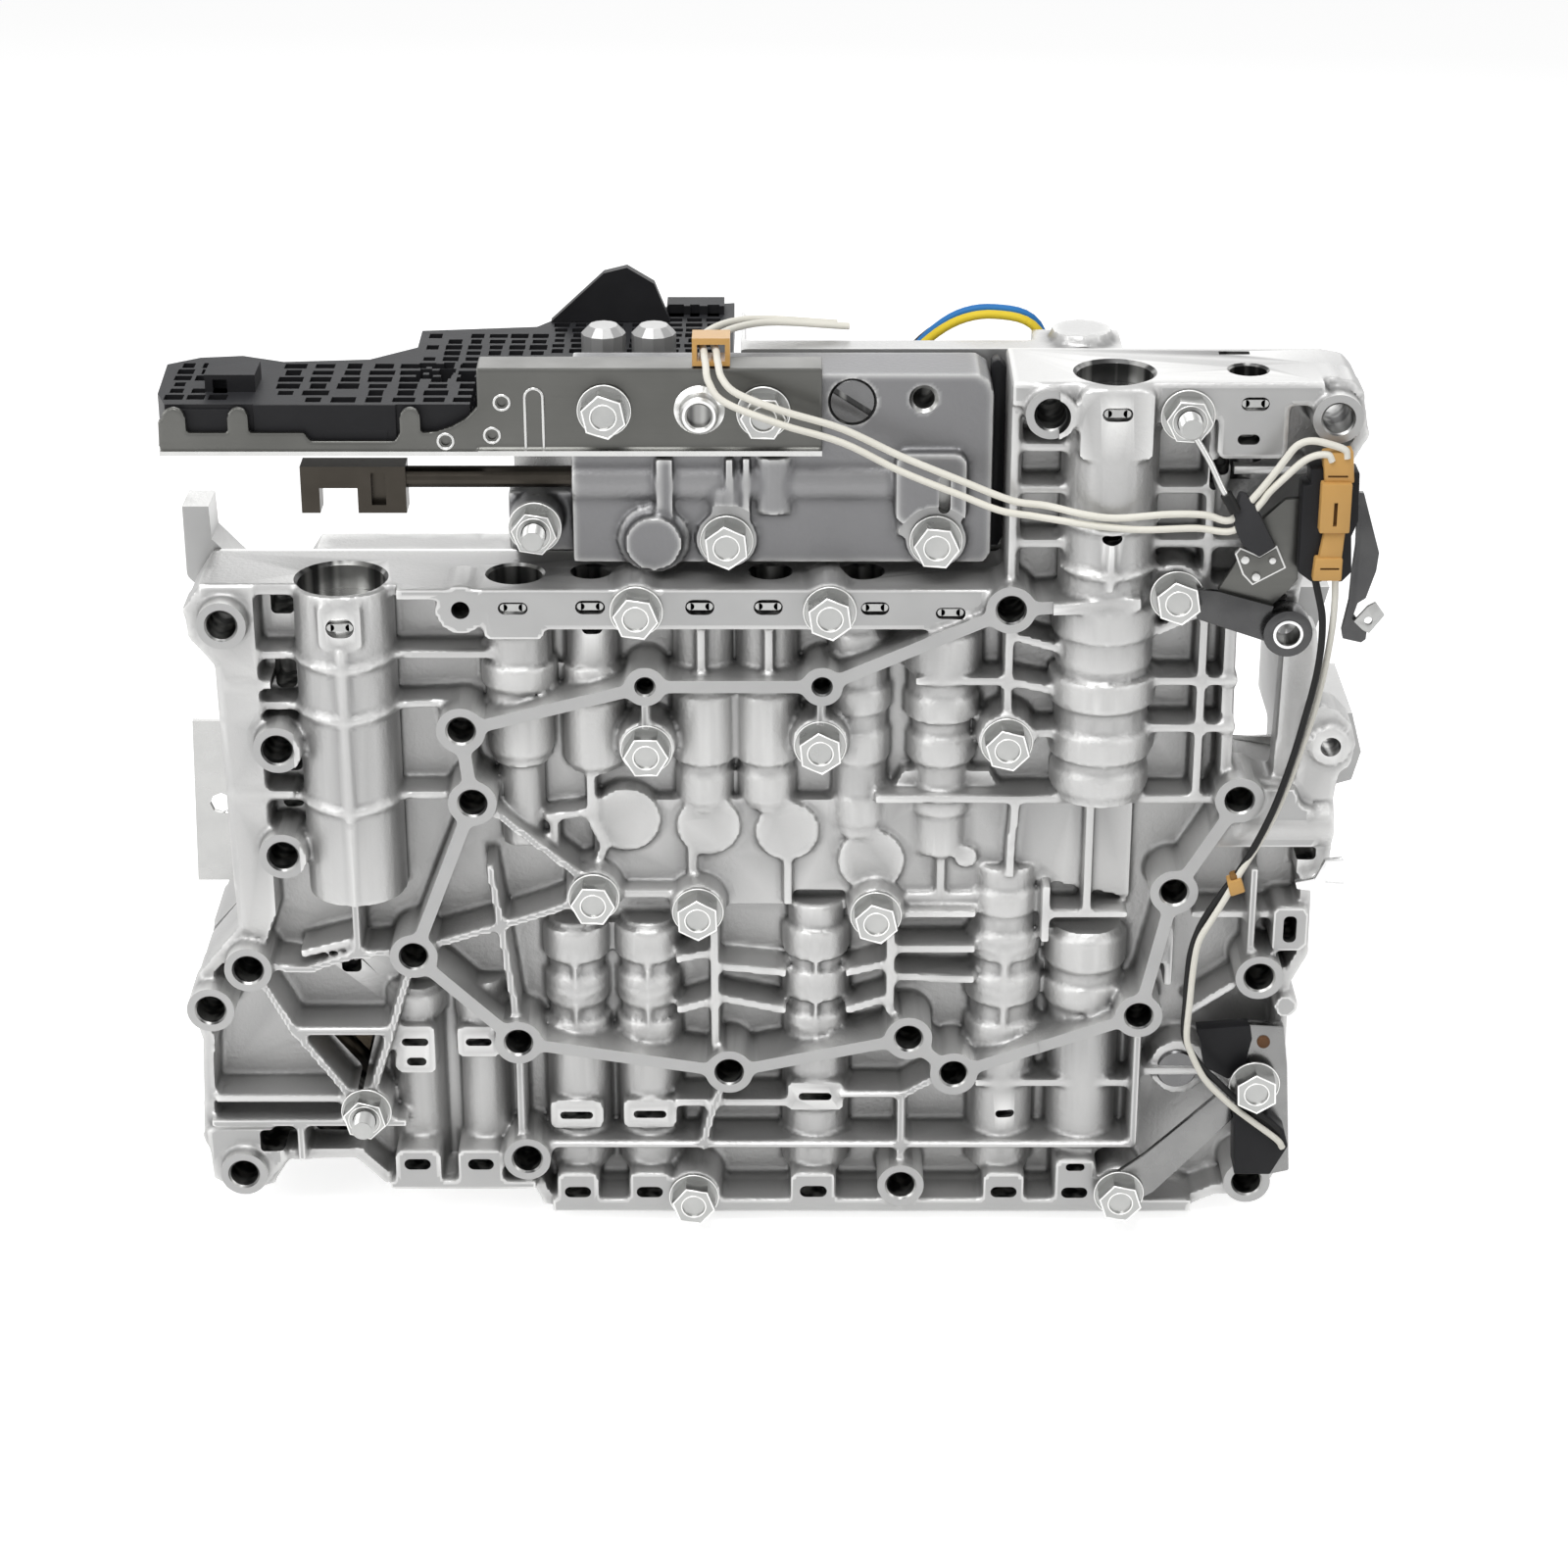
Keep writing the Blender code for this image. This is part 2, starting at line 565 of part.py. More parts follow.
def combine(name, base, added, cut, coating):
    """One piece from a base, the shapes joined to it and the shapes cut from it."""
    base.name = name
    base.data.name = name
    base.data.materials.clear()
    base.data.materials.append(finish(coating))
    PARTS.objects.link(base)
    for operation, shapes in (("UNION", added), ("DIFFERENCE", cut)):
        if not shapes:
            continue
        group = collection(name + "_" + operation.lower(), HELPERS)
        for index, shape in enumerate(shapes):
            shape.name = f"{name}_{operation.lower()}_{index}"
            shape.hide_render = True
            shape.display_type = "WIRE"
            group.objects.link(shape)
        modifier = base.modifiers.new(operation.title(), "BOOLEAN")
        modifier.operation = operation
        modifier.operand_type = "COLLECTION"
        modifier.collection = group
        modifier.solver = "EXACT"
    return base


def front_pad(x, z, width, height, face):
    """A raised pad, from its face down into the floor."""
    return centred_box(x, z, width, height, face, FLOOR_DEPTH + 1)


def bulge_shapes():
    made = []
    for x, depth, steps in BULGES:
        made += [upright(x, depth, low, high, radius, BULGE_SIDES) for radius, low, high in steps]
    return made


def collar_shapes():
    """The flat collars round the regulator bulge and the web down its middle."""
    x, depth, bore = PRIMARY_BORE
    made = [upright(x, depth, z - 1.2, z + 1.2, bore + 4.2, 10) for z in (163.5, 149.4, 124.8)]
    made.append(box((x - 1.2, depth - bore - 4.0, 95), (x + 1.2, depth, 160)))
    return made


def boss_shapes():
    back = FLOOR_DEPTH + 1
    made = [drilled(x, z, 0, back, BOSS_RADIUS, BOSS_SIDES) for x, z in CASE_BOSSES.values()]
    made += [drilled(x, z, 0, back, BOSS_RADIUS, BOSS_SIDES) for x, z in RIDGE_BOSSES.values()]
    made += [drilled(x, z, 0, back, BOSS_RADIUS, BOSS_SIDES) for x, z in RIDGE_PINS.values()]
    made += [drilled(x, z, seat, back, FLANGE_RADIUS + 0.7, SEAT_SIDES) for x, z, seat in BOLTS.values()]
    made += [drilled(x, z, seat, back, FLANGE_RADIUS, SEAT_SIDES) for x, z, seat in STUDS.values()]
    made.append(drilled(-76.3, 175.6, STRIP_DEPTH, back, 6.4, 10))
    made.append(drilled(*SENSOR_BOLT, 4.0, back, 6.4, 10))
    made.append(drilled(*ARM_BOLT, 4.0, back, 7.0, 10))
    made.append(drilled(*STRAP_BOLT, STRIP_DEPTH, back, 6.0, 10))
    made.append(drilled(132.4, 65.8, 3.0, back, 4.4, 8))
    made.append(drilled(107.6, 44.5, 6.0, back, 7.6, 12))
    return made


def ridge_shapes():
    points = {**RIDGE_BOSSES, **RIDGE_PINS}
    made = []
    for chain in RIDGE_CHAIN:
        for a, b in zip(chain, chain[1:]):
            made.append(wall(points[a], points[b], RIDGE_WIDTH, 0, FLOOR_DEPTH + 1))
    made.append(wall(points["k"], (91.5, 178.6), RIDGE_WIDTH, 0, FLOOR_DEPTH + 1))
    made.append(wall(points["f"], points["g"], RIDGE_WIDTH, 0, FLOOR_DEPTH + 1))
    return made


def panel_shapes():
    """The shallow middle panel with its round valve ends, and the flat outer areas."""
    back = FLOOR_DEPTH + 1
    panel = (
        (-53, 128), (-53, 96), (-18, 94), (27, 93), (52, 106), (93, 92), (93, 121), (60, 121),
        (34, 128), (28, 112), (-28, 112), (-28, 128),
    )
    made = [prism(panel, PANEL_DEPTH, back)]
    for x, z, radius in ((-36.6, 115.1, 8.8), (-15.6, 113.4, 8.2), (4.5, 111.8, 8.2), (26.1, 103.4, 8.6)):
        made.append(drilled(x, z, PANEL_DEPTH - 2.4, back, radius, 12))
    made.append(prism(((-141, 180.5), (-128, 180.5), (-127, 90), (-130, 82), (-136, 86), (-137, 154),
                       (-141, 165)), RIM_DEPTH - 0.6, back))
    made.append(prism(((-149, 27), (-148, 12), (-143, 9), (-135, 9), (-128, 18), (-132, 28)), 4.0, back))
    made.append(prism(((117, 126.5), (133, 126.5), (139, 112), (126, 104), (110, 104), (113, 120)), 3.0, back))
    return made


def strip_shapes():
    """The flat strips along the top face and the bottom edge, and the skirt that it stands on."""
    back = FLOOR_DEPTH + 1
    top = ((-92, TOP_FACE), (-92, TOP_FACE - 2.6), (-70, TOP_FACE - 2.6), (-56, TOP_FACE - 10.6),
           (50, TOP_FACE - 10.6), (52, TOP_FACE - 7), (58.4, TOP_FACE - 7), (58.4, TOP_FACE))
    made = [prism(top, STRIP_DEPTH, back)]
    made.append(box((-58, STRIP_DEPTH, FRONT_EDGE), (112, back, FRONT_EDGE + 3.0)))
    made.append(box((-101, STRIP_DEPTH, 10.5), (-62, back, 13.0)))
    made.append(box((58.5, 1.6, COLUMN_TOP - 6.0), (134, back, COLUMN_TOP)))
    made.append(box((-56, FRONT_DEPTH - 17.5, 0.0), (110, FRONT_DEPTH, FRONT_EDGE + 3.0)))
    return made


def dowel_shapes():
    return [drilled(x, z, 8.0, FLOOR_DEPTH + 1, 1.6, 8) for x, z in ((94.6, 137.2), (50.5, 104.4))]


def casting_slots():
    """Slots for the valve retainers, each cut from the face of its pad into the bore."""
    front = min(pad[4] for pad in PADS) - 1
    return [centred_box(x, z, width, height, front, STRIP_DEPTH + SLOT_REACH)
            for x, z, width, height in SLOTS]


def front_cuts():
    cuts = [drilled(x, z, -3, FRONT_DEPTH + 1, CASE_HOLE_RADIUS) for x, z in CASE_BOSSES.values()]
    cuts += [drilled(x, z, -3, BLIND_HOLE_DEPTH, BLIND_HOLE_RADIUS) for x, z in RIDGE_BOSSES.values()]
    cuts += [drilled(x, z, -3, BLIND_HOLE_DEPTH, 2.2) for x, z in RIDGE_PINS.values()]
    cuts.append(drilled(-76.3, 175.6, -3, BLIND_HOLE_DEPTH, 2.3))
    cuts.append(drilled(-109.4, 73.5, 3, BLIND_HOLE_DEPTH + 1, 2.4))
    cuts += casting_slots()
    cuts += [centred_box(x, z, w, h, -1, reach) for x, z, w, h, reach in POCKETS]
    cuts.append(prism(((-119.0, 53.6), (-103.4, 53.6), (-107.2, 38.5)), -1, FRONT_DEPTH + 1))
    x, depth, radius = PRIMARY_BORE
    cuts.append(upright(x, depth, 99.0, TOP_FACE + 5, radius, BORE_SIDES))
    x, depth, radius = COLUMN_BORE
    cuts.append(upright(x, depth, 127.0, COLUMN_TOP + 5, radius, BORE_SIDES))
    x, depth, radius = SECOND_BORE
    cuts.append(upright(x, depth, 137.0, TOP_FACE + 5, radius, BORE_SIDES))
    for x, depth, radius in SMALL_BORES:
        cuts.append(upright(x, depth, 158.0, TOP_FACE + 5, radius, 8))
    cuts.append(upright(116.5, 12.2, 205.0, COLUMN_TOP + 5, 4.6, 8))
    cuts.append(centred_box(-101.0, TOP_FACE, 7.4, 4.0, FRONT_DEPTH - 1.0, FRONT_DEPTH + 1))
    cuts.append(centred_box(-85.0, TOP_FACE, 3.8, 4.0, FRONT_DEPTH - 1.0, FRONT_DEPTH + 1))
    cuts.append(centred_box(114.5, COLUMN_TOP, 7.6, 6.0, FRONT_DEPTH - 6.0, FRONT_DEPTH - 3.5))
    cuts += [shank_hole(x, z, seat) for x, z, seat in through_bolts()]
    cuts.append(round_bar((126, 10, 111.9), (150, 10, 111.9), 4.2 + GAP, 12))
    return cuts


def shank_hole(x, z, seat):
    return drilled(x, z, seat - 1, FRONT_DEPTH + 1, THREAD_RADIUS + SHANK_CLEARANCE, 6)


def front_body():
    base = prism(FRONT_OUTLINE, RIM_DEPTH, FRONT_DEPTH)
    cut_first(base, prism(inset(FRONT_OUTLINE, RIM_WIDTH), RIM_DEPTH - 1, FLOOR_DEPTH))
    added = boss_shapes() + ridge_shapes() + bulge_shapes() + collar_shapes() + panel_shapes()
    added += strip_shapes() + dowel_shapes()
    added += [front_pad(*pad) for pad in PADS]
    for front, *points in RIBS:
        added += walls(points, RIB_WIDTH, front, FLOOR_DEPTH + 1)
    return combine("front_body", base, added, front_cuts(), "cast_aluminium")


def separator_plate():
    """The steel plate that seals the passages of the two castings from each other."""
    front = FRONT_DEPTH + GAP
    back = front + PLATE_THICKNESS
    base = prism(PLATE_OUTLINE, front, back)
    cuts = [drilled(x, z, front - 1, back + 1, CASE_HOLE_RADIUS, 6) for x, z in CASE_BOSSES.values()
            if z < 220]
    cuts += [drilled(x, z, front - 1, back + 1, THREAD_RADIUS + SHANK_CLEARANCE, 6)
             for x, z in through_screws()]
    cuts.append(drilled(-143.4, 110, front - 1, back + 1, 3.0, 8))
    cuts.append(box((WINDOW_LEFT, front - 1, 129), (WINDOW_RIGHT, back + 1, WINDOW_TOP)))
    cuts.append(prism(((-119.0, 53.6), (-103.4, 53.6), (-107.2, 38.5)), front - 1, back + 1))
    return combine("separator_plate", base, [], cuts, "sheet_steel")


def through_bolts():
    """Every bolt that runs through the front casting: x, z, depth of its seat."""
    seats = list(BOLTS.values()) + list(STUDS.values())
    seats += [(*SENSOR_BOLT, 4.0), (*ARM_BOLT, 4.0), (*STRAP_BOLT, STRIP_DEPTH)]
    return seats


def through_screws():
    """Every screw that ends in the rear casting: x, z."""
    return [(x, z) for x, z, _ in through_bolts()] + list(MANUAL_BOLTS.values()) + [MANUAL_STUD]


def rear_body():
    """The rear casting, hollow from its back, with a column at every screw that runs through it."""
    front = FRONT_DEPTH + PLATE_THICKNESS + 2 * GAP
    back = front + REAR_DEPTH
    floor = front + REAR_FLOOR
    base = prism(REAR_OUTLINE, front, back)
    hollow = prism(REAR_HOLLOW, floor, back + 1)
    cut_first(base, hollow)
    low = [(x, z) for x, z in CASE_BOSSES.values() if z < 220]
    added = [drilled(x, z, floor - 1, back, BOSS_RADIUS + 0.5, 6) for x, z in low]
    for chain in REAR_WEBS:
        added += walls(chain, 4.0, floor - 1, back - 2)
    for x, low_z, high_z in REAR_VALVES:
        added.append(upright(x, floor + 2, low_z, high_z, 9.0, 8))
    added.append(box((-52, floor - 1, 190), (-18, 54, REAR_SHELF)))
    added.append(upright(78, front + 8.4, 200, REAR_TOP + 3, 7.8, 12))
    cuts = [drilled(x, z, front - 1, back + 1, CASE_HOLE_RADIUS, 6) for x, z in low]
    cuts += [drilled(x, z, front - 1, front + 12, THREAD_RADIUS + SHANK_CLEARANCE, 6)
             for x, z in through_screws()]
    cuts.append(box((WINDOW_LEFT, front - 1, 112), (WINDOW_RIGHT, back + 1, WINDOW_TOP)))
    cuts.append(box((WINDOW_LEFT, floor, 110), (WINDOW_RIGHT + 4, back + 1, 128)))
    cuts.append(drilled(146.3, 125.2, front - 1, back + 1, 3.6, 8))
    for x, depth in SOLENOIDS:
        cuts.append(upright(x, depth, REAR_SHELF - 16, REAR_SHELF + 5, SOLENOID_RADIUS + GAP, 12))
    cuts.append(box((-6, front + 8, REAR_SHELF), (66, back + 1, REAR_TOP + 9)))
    cuts.append(box((65, front + 17, REAR_SHELF), (150, back + 1, REAR_TOP + 9)))
    return combine("rear_body", base, added, cuts, "cast_aluminium")


def cut_first(base, cutter):
    """Takes one shape out of a base before anything is joined to it."""
    cutter.hide_render = True
    cutter.display_type = "WIRE"
    HELPERS.objects.link(cutter)
    modifier = base.modifiers.new("Hollow", "BOOLEAN")
    modifier.operation = "DIFFERENCE"
    modifier.object = cutter
    modifier.solver = "EXACT"


def manual_valve_body():
    """The casting above the top face that carries the manual valve."""
    back = FRONT_DEPTH
    outline = (
        (-48.7, MANUAL_BASE), (54.0, MANUAL_BASE), (55.0, MANUAL_BASE + 2), (54.6, MANUAL_TOP - 3.3),
        (51.0, MANUAL_TOP), (-48.7, MANUAL_TOP),
    )
    base = prism(outline, MANUAL_FACE, back)
    z = MANUAL_AXIS_HEIGHT
    depth = MANUAL_AXIS_DEPTH
    added = [round_bar((-48.0, depth, z), (40, depth, z), MANUAL_BULGE_RADIUS, 10)]
    added.append(box((-65.0, 20.5, MANUAL_BASE), (-48.0, back, MANUAL_BASE + 15.7)))
    added.append(drilled(*MANUAL_STUD, 12.0, back, 6.6, 10))
    added += [drilled(x, z, 10.6, back, 7.0, 12) for x, z in MANUAL_BOLTS.values()]
    added.append(drilled(-28.5, MANUAL_BASE + 6.7, 7.5, back, 7.0, 12))
    added.append(drilled(-28.5, MANUAL_BASE + 6.7, 9.0, back, 8.4, 12))
    added.append(prism(((33, z + 9.7), (35, z + 12.2), (46, z + 12.2), (48.5, z + 9.7), (48.5, z - 6.3),
                        (33, z - 6.3)), 8.5, back))
    for x, width in ((-28.0, 3.0), (-10.0, 3.0), (2.5, 6.0)):
        added.append(centred_box(x, z + 0.2, width, 13.5, 9.2, back))
    cuts = [round_bar((-70, depth, z), (36, depth, z), MANUAL_BORE_RADIUS, 16)]
    cuts.append(drilled(37.8, MANUAL_TOP - 6.3, 8, 24, 2.6, 8))
    cuts.append(drilled(20.4, MANUAL_TOP - 7.0, 8, 13.2, 6.6, 12))
    cuts.append(centred_box(40.8, z - 0.3, 3.2, 11.0, 7, 14))
    for bolt_x, bolt_z in list(MANUAL_BOLTS.values()) + [MANUAL_STUD]:
        cuts.append(drilled(bolt_x, bolt_z, 5, back + 1, THREAD_RADIUS + SHANK_CLEARANCE, 6))
    for bolt_x, bolt_z in list(BRACKET_BOLTS.values()) + [BRACKET_NUT]:
        cuts.append(drilled(bolt_x, bolt_z, 5, MANUAL_FACE + 12, THREAD_RADIUS + SHANK_CLEARANCE, 6))
    return combine("manual_valve_body", base, added, cuts, "cast_aluminium")


def turned(name, profile, sides, coating, matrix):
    """A turned piece: the profile's radii and heights run from its top centre to its bottom."""
    curve = bpy.data.curves.new(name, "CURVE")
    curve.dimensions = "3D"
    spline = curve.splines.new("POLY")
    spline.points.add(len(profile) - 1)
    for point, (radius, height) in zip(spline.points, profile):
        point.co = (radius * MM, 0, height * MM, 1)
    piece = bpy.data.objects.new(name, curve)
    screw = piece.modifiers.new("Screw", "SCREW")
    screw.axis = "Z"
    screw.steps = sides
    screw.render_steps = sides
    screw.use_merge_vertices = True
    screw.merge_threshold = 0.00001
    screw.use_smooth_shade = False
    PARTS.objects.link(piece)
    piece.matrix_world = matrix
    curve.materials.append(finish(coating))
    return piece


def manual_valve():
    """The manual valve: lands inside the bore, a thin stem and the hook for the selector lever."""
    land = MANUAL_BORE_RADIUS - RUNNING_FIT
    depth = MANUAL_AXIS_DEPTH
    z = MANUAL_AXIS_HEIGHT
    base = round_bar((-92, depth, z), (-4, depth, z), 2.7, 16)
    added = [round_bar((x, depth, z), (x + 12, depth, z), land, 16) for x in (-36.0, -14.0)]
    added.append(box((-115.6, depth - 3.4, z - 1.9), (-89.6, depth + 3.4, z + 3.7)))
    added.append(box((-115.6, depth - 3.4, z - 8.4), (-111.0, depth + 3.4, z - 1.3)))
    added.append(box((-101.6, depth - 3.4, z - 8.4), (-89.6, depth + 3.4, z - 1.3)))
    cuts = [centred_box(-96.4, z - 2.1, 3.6, 8.4, depth - 4, depth - 0.8)]
    return combine("manual_valve", base, added, cuts, "ground_steel")


def spool(name, bore, bottom, top, coating="ground_steel"):
    """A valve with two lands in an upright bore."""
    x, depth, radius = bore
    land = radius - RUNNING_FIT
    length = top - bottom
    profile = (
        (0, length), (land, length), (land, length * 0.62), (radius * 0.55, length * 0.62),
        (radius * 0.55, length * 0.38), (land, length * 0.38), (land, 0), (0, 0),
    )
    return turned(name, profile, BORE_SIDES, coating, Matrix.Translation(place(x, depth, bottom)))


def plug(name, bore, bottom, top):
    """The end plug of a bore, held by the retainer that passes through its slot."""
    x, depth, radius = bore
    land = radius - RUNNING_FIT
    length = top - bottom
    profile = ((0, length - 4), (radius * 0.5, length - 4), (radius * 0.5, length), (land, length),
               (land, 0), (0, 0))
    return turned(name, profile, BORE_SIDES, "ground_steel", Matrix.Translation(place(x, depth, bottom)))


def spring(name, bore, bottom, top):
    """A helical spring between a valve and the plug of its bore."""
    x, depth, radius = bore
    coil = radius - WIRE_RADIUS - 1.2
    low = bottom + WIRE_RADIUS + GAP
    high = top - WIRE_RADIUS - GAP
    steps = COILS * 8
    points = []
    for index in range(steps + 1):
        turn = 2 * math.pi * index / 8
        height = low + (high - low) * index / steps
        points.append((x + coil * math.cos(turn), depth + coil * math.sin(turn), height))
    return tube(name, points, WIRE_RADIUS, "sheet_steel")


def tube(name, points, radius, coating):
    """A round wire or lead through a list of points, each x, depth, z."""
    curve = bpy.data.curves.new(name, "CURVE")
    curve.dimensions = "3D"
    curve.bevel_depth = radius * MM
    curve.bevel_resolution = 2
    curve.use_fill_caps = True
    spline = curve.splines.new("POLY")
    spline.points.add(len(points) - 1)
    for point, where in zip(spline.points, points):
        point.co = (*place(*where), 1)
    piece = mesh_of(bpy.data.objects.new(name, curve), name, Matrix())
    return combine(name, piece, [], [], coating)


def smooth_path(points, spacing):
    """Points at even steps along a smooth curve through the given ones."""
    ends = [Vector(points[0]) * 2 - Vector(points[1])] + [Vector(p) for p in points]
    ends.append(Vector(points[-1]) * 2 - Vector(points[-2]))
    fine = []
    for a, b, c, d in zip(ends, ends[1:], ends[2:], ends[3:]):
        for step in range(12):
            t = step / 12
            fine.append(0.5 * (2 * b + (c - a) * t + (2 * a - 5 * b + 4 * c - d) * t * t
                               + (3 * b - a - 3 * c + d) * t * t * t))
    fine.append(Vector(points[-1]))
    length = sum((b - a).length for a, b in zip(fine, fine[1:]))
    count = max(2, round(length / spacing))
    even = [fine[0]]
    walked = 0.0
    for a, b in zip(fine, fine[1:]):
        piece = (b - a).length
        while len(even) < count and walked + piece >= length * len(even) / count:
            share = (length * len(even) / count - walked) / piece
            even.append(a + (b - a) * share)
        walked += piece
    return [tuple(p) for p in even] + [tuple(fine[-1])]


def bolt(name, x, z, seat, length):
    """A hexagon bolt with a flange under its head, entered from the front."""
    flange_back = seat - GAP
    front = flange_back - HEAD_HEIGHT
    base = drilled(x, z, flange_back - FLANGE_HEIGHT, flange_back, FLANGE_RADIUS, 10)
    added = [drilled(x, z, front, flange_back - 0.5, HEX_RADIUS, 6)]
    added.append(drilled(x, z, flange_back - 0.5, seat + length, THREAD_RADIUS, 6))
    return combine(name, base, added, [], "zinc_steel")


def stud_nut(name, x, z, seat, length):
    """A stud with a flange nut on it, its end standing out of the nut."""
    flange_back = seat - GAP
    front = flange_back - HEAD_HEIGHT
    base = drilled(x, z, flange_back - FLANGE_HEIGHT, flange_back, FLANGE_RADIUS, 10)
    added = [drilled(x, z, front, flange_back - 0.5, HEX_RADIUS, 6)]
    added.append(drilled(x, z, front - 4.5, flange_back - 0.5, THREAD_RADIUS, 8))
    added.append(drilled(x, z, flange_back - 0.5, seat + length, THREAD_RADIUS, 6))
    return combine(name, base, added, [], "zinc_steel")


def fasteners():
    through = FRONT_DEPTH + PLATE_THICKNESS + 2 * GAP + 11
    for name, (x, z, seat) in BOLTS.items():
        bolt(name, x, z, seat, through - seat)
    for name, (x, z) in MANUAL_BOLTS.items():
        bolt(name, x, z, 10.6, through - 10.6)
    bracket_seat = MANUAL_FACE - GAP - SHEET_THICKNESS
    for name, (x, z) in BRACKET_BOLTS.items():
        bolt(name, x, z, bracket_seat, 12.0)
    for name, where, seat in (
        ("bolt_sensor", SENSOR_BOLT, SENSOR_SEAT - SENSOR_THICKNESS),
        ("bolt_strap", STRAP_BOLT, STRAP_SEAT - SHEET_THICKNESS),
    ):
        bolt(name, *where, seat, through - seat)
    bolt("bolt_arm", *ARM_BOLT, ARM_SEAT, through - ARM_SEAT)
    stud_nut("nut_bracket", *BRACKET_NUT, bracket_seat, 12.0)
    for name, (x, z, seat) in STUDS.items():
        stud_nut(name, x, z, seat, through - seat)
    stud_nut("stud_nut_manual", *MANUAL_STUD, 12.0, through - 12.0)


def conductor_bracket():
    """The bent steel plate that holds the conductor housing."""
    back = MANUAL_FACE - GAP
    front = back - SHEET_THICKNESS
    low = CONDUCTOR_BASE - GAP - SHEET_THICKNESS - 0.7
    web = CONDUCTOR_BASE + 2.6
    tip = CONDUCTOR_TOP - 1.0
    outline = (
        (-149, low), (13, low), (13, MANUAL_TOP - 1), (-71, MANUAL_TOP - 1), (-71, tip + 0.5),
        (-80, web + 0.7), (-85, web + 0.7), (-85, tip), (-90, tip), (-90, web), (-127, web), (-127, tip),
        (-132, tip), (-132, web), (-143.5, web), (-143.5, tip), (-149, tip),
    )
    base = prism(outline, front, back)
    leaf = MANUAL_TOP + GAP
    added = [box((-71, front, leaf), (13, 20.0, leaf + SHEET_THICKNESS))]
    added.append(box((-71, front, MANUAL_TOP - 3.3), (13, back, leaf + SHEET_THICKNESS)))
    added.append(box((-149, front, low), (-71, 40.0, low + SHEET_THICKNESS)))
    added.append(centred_box(-54.5, MANUAL_TOP - 10.8, 4.6, 14.0, front - 1.0, back))
    cuts = [drilled(x, z, front - 2, back + 1, THREAD_RADIUS + SHANK_CLEARANCE, 6)
            for x, z in list(BRACKET_BOLTS.values()) + [BRACKET_NUT]]
    return combine("conductor_bracket", base, added, cuts, "sheet_steel")


def conductor_housing():
    """The black conductor plate on the bracket, reaching back over the castings."""
    outline = (
        (-147.5, 12.5), (-73.0, 12.5), (-73.0, 30.8), (-9.4, 30.8), (-9.4, 96.5), (-52.1, 88.0),
        (-60.4, 75.5), (-89.9, 72.0), (-89.8, 58.0), (-101.0, 48.0), (-122.5, 46.0), (-133.5, 51.0),
        (-144.0, 49.5), (-151.6, 44.0), (-150.4, 20.5),
    )
    base = plan_prism(outline, CONDUCTOR_BASE, CONDUCTOR_TOP)
    added = [box((-139.0, 22.0, CONDUCTOR_TOP - 3.5), (-126.5, 38.0, CONDUCTOR_TOP + 8))]
    added.append(box((-60.0, 50.0, CONDUCTOR_TOP - 3.5), (-24.0, 56.0, CONDUCTOR_TOP + 4)))
    cuts = []
    floor = CONDUCTOR_TOP - 2.0
    for row in range(2):
        for column in range(4):
            x = -114.0 + column * 11.5 - row * 1.5
            depth = 20.0 + row * 11.0
            cuts.append(box((x - 4.4, depth - 3.6, floor), (x + 4.4, depth + 3.6, CONDUCTOR_TOP + 2)))
    for column in range(4):
        x = -50.0 + column * 10.5
        cuts.append(box((x - 3.6, 64.0, floor), (x + 3.6, 76.0, CONDUCTOR_TOP + 2)))
    for x, depth in SOLENOIDS:
        cuts.append(upright(x, depth, CONDUCTOR_BASE - 2, CONDUCTOR_TOP + 6, SOLENOID_RADIUS + GAP, 12))
    return combine("conductor_housing", base, added, cuts, "black_plastic")


def conductor_flap():
    """The upright ear at the back of the conductor housing."""
    low = CONDUCTOR_TOP + GAP
    outline = ((-57.0, low), (-26.0, low), (-30.0, low + 10.2), (-37.0, low + 14.5), (-43.0, low + 13.0))
    return combine("conductor_flap", prism(outline, 79.0, 82.0), [], [], "black_plastic")


def solenoids():
    low = REAR_SHELF - 16 + GAP
    length = SOLENOID_TOP - low
    profile = ((0, length), (SOLENOID_RADIUS - 2.0, length), (SOLENOID_RADIUS, length - 2.0),
               (SOLENOID_RADIUS, 0), (0, 0))
    for letter, (x, depth) in zip("ab", SOLENOIDS):
        turned("solenoid_" + letter, profile, 12, "cast_aluminium", Matrix.Translation(place(x, depth, low)))


def sensor_pieces():
    """The speed sensor at the lower right with the strap bolted beside it."""
    back = SENSOR_SEAT
    base = centred_box(127.0, 28.7, 11.0, 16.4, -2.0, back - 0.4)
    added = [centred_box(126.6, 45.5, 13.0, 18.0, back - SENSOR_THICKNESS, back)]
    added.append(prism(((107, 57), (127, 51.5), (129, 56.5), (109, 62)), back - 5.0, back - 0.8))
    cuts = [drilled(*SENSOR_BOLT, -3, back + 1, THREAD_RADIUS + SHANK_CLEARANCE, 6)]
    combine("speed_sensor", base, added, cuts, "black_plastic")


def sensor_strap():
    back = STRAP_SEAT
    front = back - SHEET_THICKNESS
    outline = ((86.0, 12.0), (89.0, 5.5), (96.5, 4.6), (101.0, 9.0), (119.0, 37.0), (111.5, 43.0),
               (97.0, 20.0))
    base = prism(outline, front, back)
    cuts = [drilled(*STRAP_BOLT, front - 1, back + 1, THREAD_RADIUS + SHANK_CLEARANCE, 6)]
    return combine("sensor_strap", base, [], cuts, "sheet_steel")


